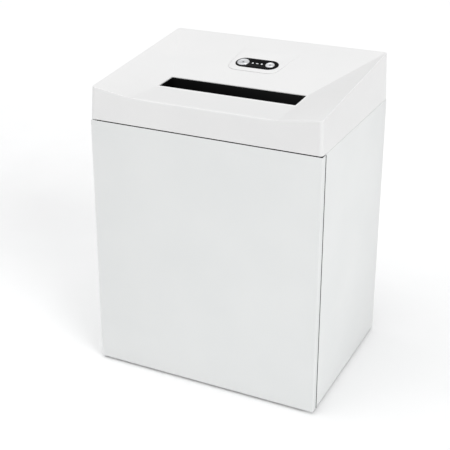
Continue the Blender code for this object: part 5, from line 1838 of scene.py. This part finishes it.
@dataclass
class Roller:
    """One cutting roller: a stepped shaft with hooked cutting discs.

    Attributes:
        name: Which roller it is.
        body: The body that it turns with.
        axis: Its axis, in depth and height.
        first: Where the first disc starts.
        left_end: Where the shaft ends on the gear side.
        radius: The discs' radius.
        core: The shaft's radius between the discs.
        journal: The shaft's radius in its bushings.
        right_end: Where the shaft ends on the other side.
        shoulder: How far from the middle the core ends.
        discs: How many discs there are.
        pitch: The distance between them.
        width: How thick each one is.
        hooks: How many hooks each one has.
        hook: How deep the hooks are.
    """

    name: str
    body: Body
    axis: Point2
    first: float
    left_end: float
    radius: float = 0.022
    core: float = 0.014
    journal: float = 0.008
    right_end: float = 0.1667
    shoulder: float = 0.1557
    discs: int = 26
    pitch: float = 0.0116
    width: float = 0.0056
    hooks: int = 18
    hook: float = 0.0024

    def build(self, shop: Workshop) -> None:
        """Make the shaft and the discs as one piece.

        Args:
            shop: The workshop.
        """
        frame = along((1, 0, 0), (0, *self.axis))
        chamfer = 0.0006
        profile = [(0, self.right_end), (self.journal - chamfer, self.right_end)]
        profile += [(self.journal, self.right_end - chamfer), (self.journal, self.shoulder)]
        profile += [(self.core - chamfer, self.shoulder), (self.core, self.shoulder - chamfer)]
        profile += [(self.core, -self.shoulder + chamfer), (self.core - chamfer, -self.shoulder)]
        profile += [(self.journal, -self.shoulder), (self.journal, self.left_end + chamfer)]
        profile += [(self.journal - chamfer, self.left_end), (0, self.left_end)]
        shaft = lathe("shaft", profile, frame, 48)
        bm = bmesh.new()
        for disc in range(self.discs):
            self._disc(bm, self.first + disc * self.pitch, disc * 0.31)
        whole = merged(f"roller_{self.name}", [shaft, from_bmesh("discs", bm)])
        shop.place(whole, self.body, CUTTER_STEEL, [f"cutter_roller_{self.name}"])

    def _disc(self, bm: bmesh.types.BMesh, low: float, phase: float) -> None:
        """Add one disc whose rim steps down at each hook and climbs back to the next.

        Args:
            bm: The bmesh to add to.
            low: Where the disc starts.
            phase: How far it is turned.
        """
        shares = ((0.0, 0.0), (0.30, 0.0), (0.34, 1.0), (0.56, 0.62), (0.80, 0.22))
        y, z = self.axis
        rims: list[list[bmesh.types.BMVert]] = [[], []]
        for hook in range(self.hooks):
            for along_hook, drop in shares:
                angle = phase + 2 * math.pi * (hook + along_hook) / self.hooks
                radius = self.radius - drop * self.hook
                place = (y + radius * math.cos(angle), z + radius * math.sin(angle))
                for rim, x in zip(rims, (low, low + self.width)):
                    rim.append(bm.verts.new((x, *place)))
        count = len(rims[0])
        for step in range(count):
            following = (step + 1) % count
            bm.faces.new((rims[0][step], rims[0][following], rims[1][following], rims[1][step]))
        bm.faces.new(rims[0])
        bm.faces.new(rims[1])


@dataclass
class CuttingHead:
    """The tray, the side plates and what they hold.

    Attributes:
        plate_face: How far the side plates' outer faces are from the middle.
        tie_bars: The tie bars' places, in depth and height.
        tray_screws: The places of the tray's screws, in plan.
        tray_floor: The height of the tray's floor.
    """

    plate_face: float = 0.1617
    tie_bars: tuple[Point2, ...] = ((-0.1115, 0.5123), (0.0005, 0.5123))
    tray_screws: tuple[Point2, ...] = ((-0.215, -0.138), (0.215, -0.138), (-0.215, 0.166), (0.215, 0.166))
    tray_floor: float = 0.505

    def build(self, shop: Workshop) -> None:
        """Dress the head's frame, and make the rollers and the bolts.

        Args:
            shop: The workshop.
        """
        shop.dress("head_tray", DUSTY_BLACK, 0.0004)
        shop.dress(["side_plate_left", "side_plate_right", "tie_bar_front", "tie_bar_rear"], STEEL, 0.0004)
        shop.dress(["stripper_comb_front", "stripper_comb_rear"], STEEL, 0.0002)
        bushings = [f"bushing_{end}_{side}" for end in ("front", "rear") for side in ("left", "right")]
        shop.dress(bushings, BRONZE, 0.0003)
        Roller("front", Body.FRONT_ROLLER, (-0.0745, 0.5402), first=-0.1507, left_end=-0.1782).build(shop)
        Roller("rear", Body.REAR_ROLLER, (-0.0325, 0.5402), first=-0.1449, left_end=-0.1892).build(shop)
        bolts = Screws(0.0045, 0.0030, Drive.SOCKET)
        ends = [(way, (way * self.plate_face, *bar)) for way in (-1, 1) for bar in self.tie_bars]
        frames = [along((way, 0, 0), end) for way, end in ends]
        shop.place(bolts.set("tie_bar_bolts", frames), Body.ROOT, STEEL)
        frames = [Matrix.Translation((x, y, self.tray_floor)) for x, y in self.tray_screws]
        shop.place(Screws(0.0042, 0.0018).set("tray_screws", frames), Body.ROOT, STEEL)


# ------------ gears and motor


@dataclass
class Wheel:
    """A gear that is carried over with recessed webs and holes cut into it.

    Attributes:
        node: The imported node.
        body: The body that it turns with.
        axis: Its axis, in depth and height.
        left_face: The left face and the web's inner and outer radius there.
        right_face: The same on the right.
        finish: Its finish.
        holes: How many holes go through the web.
        recess: How deep the web lies.
    """

    node: str
    body: Body
    axis: Point2
    left_face: tuple[float, float, float]
    right_face: tuple[float, float, float]
    finish: Finish
    holes: int = 6
    recess: float = 0.0018

    def build(self, shop: Workshop) -> None:
        """Copy the gear, cut its webs and holes, and soften its edges.

        Args:
            shop: The workshop.
        """
        copy = linked(f"{self.node}_web", shop.nodes[self.node].data.copy())
        copy.modifiers.new("weld", "WELD").merge_threshold = 0.000002
        y, z = self.axis
        slope = 0.0005
        tools = []
        for name, (x, inner, outer), way in (("left", self.left_face, 1), ("right", self.right_face, -1)):
            frame = along((way, 0, 0), (x, y, z))
            ring = [(inner + slope, self.recess), (outer - slope, self.recess)]
            ring += [(outer, -0.001), (inner, -0.001)]
            tools.append(lathe(f"{name}_web", ring, frame, 64, True))
        wheel = cut(copy, tools)
        inner = max(self.left_face[1], self.right_face[1])
        outer = min(self.left_face[2], self.right_face[2])
        middle = (inner + outer) / 2
        size = 0.32 * (outer - inner)
        reach = self.right_face[0] - self.left_face[0] + 0.004
        holes = []
        for hole in range(self.holes):
            angle = 2 * math.pi * (hole + 0.5) / self.holes
            start = (self.left_face[0] - 0.002, y + middle * math.cos(angle), z + middle * math.sin(angle))
            profile = [(0, reach), (size, reach), (size, 0), (0, 0)]
            holes.append(lathe(f"hole_{hole}", profile, along((1, 0, 0), start), 24))
        wheel = cut(wheel, holes)
        wheel.name = f"{self.node}_webbed"
        shop.place(wheel, self.body, self.finish, [self.node])


@dataclass
class GearTrain:
    """The gears, their axles and the clips that hold them.

    Attributes:
        rear_axis: The drive gear's axis, in depth and height.
        middle_axis: The middle gear's axis.
        first_axis: The first gear's axis.
    """

    rear_axis: Point2 = (-0.0325, 0.5402)
    middle_axis: Point2 = (0.0042055, 0.557316)
    first_axis: Point2 = (0.0355856, 0.5600614)

    def build(self, shop: Workshop) -> None:
        """Make the webbed gears and the clips, and dress the rest.

        Args:
            shop: The workshop.
        """
        shop.dress(["roller_gear_front", "roller_gear_rear", "motor_pinion"], STEEL, 0.00015)
        shop.dress(["middle_gear_axle", "first_gear_axle"], STEEL, 0.0003)
        drive = Wheel(
            "drive_gear", Body.REAR_ROLLER, self.rear_axis,
            (-0.1872, 0.0125, 0.0255), (-0.1782, 0.0125, 0.0255), STEEL,
        )
        middle = Wheel(
            "middle_gear", Body.MIDDLE_GEAR, self.middle_axis,
            (-0.1972, 0.0075, 0.0200), (-0.1892, 0.0132, 0.0200), NYLON, 5,
        )
        first = Wheel(
            "first_gear", Body.FIRST_GEAR, self.first_axis,
            (-0.2062, 0.0075, 0.0210), (-0.1992, 0.0100, 0.0210), NYLON, 5,
        )
        for wheel in (drive, middle, first):
            wheel.build(shop)
        clips = []
        for axis, x in ((self.middle_axis, -0.1984), (self.first_axis, -0.2074)):
            ring = [(0.0040, 0.0008), (0.0066, 0.0008), (0.0066, 0), (0.0040, 0)]
            clips.append(lathe("clip", ring, along((1, 0, 0), (x, *axis)), 32, True))
        shop.place(merged("axle_clips", clips), Body.ROOT, STEEL)


@dataclass
class Motor:
    """The motor, its fan, its lead and the run capacitor.

    Attributes:
        axis: The shaft's axis, in depth and height.
        shields: The outer and inner face of the left and the right end shield.
        radius: The housing's radius.
        capacitor: The capacitor's place, radius and height.
        lead_radius: The radius of the lead between the board and the motor.
    """

    axis: Point2 = (0.0679619, 0.5572289)
    shields: tuple[Point2, Point2] = ((-0.1574, -0.1494), (-0.0548, -0.0628))
    radius: float = 0.040
    capacitor: tuple[Vector, float, float] = (Vector((0.0182, 0.0779619, 0.5053)), 0.018, 0.065)
    lead_radius: float = 0.0012

    def build(self, shop: Workshop) -> None:
        """Make the shields, the capacitor and the lead, and dress the rest.

        Args:
            shop: The workshop.
        """
        shop.dress("motor_housing", STACKED_STEEL, 0.0003)
        shop.dress("motor_rotor", CUTTER_STEEL, 0.0003)
        shop.dress("cooling_fan", BLACK_PLASTIC, 0.0003)
        for side, faces in zip(("left", "right"), self.shields):
            self._shield(shop, side, faces)
        outer = self.shields[1][0]
        frames = [along((1, 0, 0), (outer, *self._around(0.0352, turn + 0.5, 4))) for turn in range(4)]
        shop.place(Screws(0.0028, 0.0022, Drive.SOCKET).set("motor_bolts", frames), Body.ROOT, STEEL)
        self._capacitor(shop)
        self._lead(shop)

    def _around(self, radius: float, turn: float, count: int) -> Point2:
        """Return a place on a circle round the shaft."""
        angle = 2 * math.pi * turn / count
        return self.axis[0] + radius * math.cos(angle), self.axis[1] + radius * math.sin(angle)

    def _shield(self, shop: Workshop, side: str, faces: Point2) -> None:
        """Make one end shield: a turned cap with a boss, a shoulder and vent holes.

        Args:
            shop: The workshop.
            side: Which side it is on.
            faces: Its outer and inner face.
        """
        outer, inner = faces
        way = 1 if inner > outer else -1
        depth = abs(inner - outer)
        radius = self.radius
        profile = [(0.0044, depth), (radius - 0.0010, depth), (radius, depth - 0.0008), (radius, 0.0024)]
        profile += [(radius - 0.0014, 0.0009), (0.0375, 0.0008), (0.0310, 0.0008), (0.0302, 0.0018)]
        profile += [(0.0140, 0.0018), (0.0128, 0.0006), (0.0120, 0.0), (0.0044, 0.0)]
        shield = lathe("shield", profile, along((way, 0, 0), (outer, *self.axis)), 72, True)
        holes = []
        for hole in range(8):
            start = (outer - way * 0.002, *self._around(0.0220, hole, 8))
            round_hole = [(0, 0.014), (0.0048, 0.014), (0.0048, 0), (0, 0)]
            holes.append(lathe(f"vent_{hole}", round_hole, along((way, 0, 0), start), 24))
        shield = cut(shield, holes)
        shield.name = f"shield_{side}"
        shop.place(shield, Body.ROOT, ALUMINIUM, [f"motor_shield_{side}"])

    def _capacitor(self, shop: Workshop) -> None:
        """Make the drawn can, its plastic lid and its two terminals.

        Args:
            shop: The workshop.
        """
        place, radius, height = self.capacitor
        frame = Matrix.Translation(place)
        rim = height - 0.0075
        profile = [(0, 0), (radius - 0.0020, 0), (radius - 0.0006, 0.0006), (radius, 0.0022)]
        profile += [(radius, rim - 0.0060), (radius - 0.0009, rim - 0.0050), (radius - 0.0009, rim - 0.0035)]
        profile += [(radius, rim - 0.0025), (radius, rim), (radius - 0.0006, rim + 0.0006)]
        profile += [(radius - 0.0014, rim), (radius - 0.0014, rim - 0.002), (0, rim - 0.002)]
        shop.place(lathe("capacitor_can", profile, frame, 72), Body.ROOT, ALUMINIUM, ["capacitor"])
        lid = [(0, rim + 0.0012), (0.0105, rim + 0.0012), (0.0115, rim), (radius - 0.0015, rim - 0.0004)]
        lid += [(radius - 0.0015, rim - 0.003), (0, rim - 0.003)]
        shop.place(lathe("capacitor_lid", lid, frame, 48), Body.ROOT, BLACK_PLASTIC)
        tabs = [block(f"tab_{x}", (x - 0.0004, -0.0031, rim), (x + 0.0004, 0.0031, height), 0.0002, frame)
                for x in (-0.005, 0.005)]
        shop.place(merged("capacitor_tabs", tabs), Body.ROOT, STEEL)

    def _lead(self, shop: Workshop) -> None:
        """Make the sleeved lead as one smooth tube between the board and the motor.

        Args:
            shop: The workshop.
        """
        board = panel_frame() @ Vector((-0.030, 0.010, -0.015))
        motor = Vector((-0.0678, self.axis[0] + 0.012, self.axis[1] + self.radius + 0.0015))
        curve = bpy.data.curves.new("lead", "CURVE")
        curve.dimensions = "3D"
        curve.bevel_depth = self.lead_radius
        curve.bevel_resolution = 4
        curve.use_fill_caps = True
        spline = curve.splines.new("BEZIER")
        spline.bezier_points.add(1)
        spline.resolution_u = 40
        pulls = (board + Vector((0, 0.012, -0.012)), motor + Vector((0, 0.018, 0.012)))
        for point, place, pull in zip(spline.bezier_points, (board, motor), pulls):
            point.co, point.handle_left, point.handle_right = place, pull, pull
        spline.bezier_points[0].handle_left = board * 2 - pulls[0]
        spline.bezier_points[1].handle_right = motor * 2 - pulls[1]
        shop.place(settled(linked("motor_lead_sleeve", curve)), Body.ROOT, BLACK_PLASTIC, ["motor_lead"])


# ------------ rear fittings


@dataclass
class RearFittings:
    """The mains inlet and the mains switch on the hood's rear wall.

    Attributes:
        inlet_x: Where the inlet is, across the back.
        rocker_x: Where the switch is.
        rise: How high both are above the hood's base.
        body: Half the inlet body's width and height.
        cavity: Half its socket's width and height.
        depth: How deep the body goes.
        cavity_depth: How deep the socket goes.
        tilt: How far the rocker leans.
        rocker_sink: How deep the rocker's base lies.
        rocker_face: Half the length of the rocker's face, and how high its ends stand over the base.
    """

    inlet_x: float = INLET_X
    rocker_x: float = ROCKER_X
    rise: float = FITTING_RISE
    body: Point2 = (0.0133, 0.0098)
    cavity: Point2 = (0.0118, 0.0083)
    depth: float = 0.022
    cavity_depth: float = 0.0155
    tilt: float = math.radians(8)
    rocker_sink: float = 0.0042
    rocker_face: Point2 = (0.0072, 0.0052)

    def build(self, shop: Workshop) -> None:
        """Make the inlet and its pins and the rocker's marks, and dress the switch.

        Args:
            shop: The workshop.
        """
        self._inlet(shop)
        shop.dress("rocker_frame", BLACK_PLASTIC, 0.0003)
        shop.dress("mains_rocker", GLOSS_BLACK, 0.0004)
        self._marks(shop)

    def _cut_corners(self, half: Point2, cut_off: float) -> list[Point2]:
        """Return a rectangle with its two upper corners cut off."""
        x, y = half
        return [(-x, -y), (x, -y), (x, y - cut_off), (x - cut_off, y), (-x + cut_off, y), (-x, y - cut_off)]

    def _inlet(self, shop: Workshop) -> None:
        """Make the inlet as a flange, a walled socket and a closed back, with three pins in it.

        Args:
            shop: The workshop.
        """
        frame = rear_frame(self.inlet_x, self.rise)
        corners = ((-1, -1), (1, -1), (1, 1), (-1, 1))
        outer = [(sx * self.body[0], sy * self.body[1]) for sx, sy in corners]
        flange = [(sx * (self.body[0] + 0.0014), sy * (self.body[1] + 0.0014)) for sx, sy in corners]
        socket = self._cut_corners(self.cavity, 0.0042)
        shift = Matrix.Translation((0, 0, 0.0008))
        rim = plate("rim", [flange, socket], 0.0010, frame @ shift, 0.0003)
        shift = Matrix.Translation((0, 0, -self.cavity_depth / 2))
        walls = plate("walls", [outer, socket], self.cavity_depth + 0.0010, frame @ shift)
        low = (-self.body[0], -self.body[1], -self.depth)
        back = block("back", low, (self.body[0], self.body[1], -self.cavity_depth), 0.0003, frame)
        shop.place(merged("inlet_body", [rim, walls, back]), Body.ROOT, BLACK_PLASTIC, ["mains_inlet"])
        pins = []
        for index, (x, y) in enumerate(((-0.007, -0.0015), (0.0, 0.0025), (0.007, -0.0015))):
            low, high = (x - 0.001, y - 0.002, -self.cavity_depth - 0.001), (x + 0.001, y + 0.002, -0.0052)
            pins.append(block(f"pin_{index}", low, high, 0.0005, frame))
        shop.place(merged("inlet_pins", pins), Body.ROOT, STEEL)

    def _marks(self, shop: Workshop) -> None:
        """Make the bar and the ring that say on and off, raised on the rocker's two faces.

        Args:
            shop: The workshop.
        """
        half, crown = self.rocker_face
        dip = 0.0012
        slope = math.atan2(dip, half)
        seat = rear_frame(self.rocker_x, self.rise) @ Matrix.Translation((0, 0, -self.rocker_sink))
        seat = seat @ Matrix.Rotation(self.tilt, 4, "X")
        along_face = 0.0040
        level = crown - dip * (1 - along_face / half)
        frames = []
        for way in (1, -1):
            place = Matrix.Translation((0, way * along_face, level))
            frames.append(seat @ place @ Matrix.Rotation(way * slope, 4, "X"))
        bar = block("bar", (-0.0003, -0.0012, -0.0002), (0.0003, 0.0012, 0.0001), 0, frames[0])
        profile = [(0.0008, 0.0001), (0.0013, 0.0001), (0.0013, -0.0002), (0.0008, -0.0002)]
        ring = lathe("ring", profile, frames[1], 32, True)
        shop.place(merged("rocker_marks", [bar, ring]), Body.SWITCH, CLEAR_LENS)


# ------------ main


def main() -> None:
    """Load the frame and make every sub-assembly in order."""
    logging.basicConfig(level=logging.INFO, format="%(name)s: %(message)s")
    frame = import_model()
    shop = Workshop(frame["nodes"])
    builders = (
        Studio(), Cabinet(), Door(), WasteBin(), Hood(), FeedThroat(), ControlPanel(), RearFittings(),
        CuttingHead(), GearTrain(), Motor(),
    )
    for builder in builders:
        LOG.info("building %s", type(builder).__name__)
        builder.build(shop)
    if shop.left:
        LOG.warning("not dressed: %s", ", ".join(sorted(shop.left)))


if __name__ == "__main__":
    main()
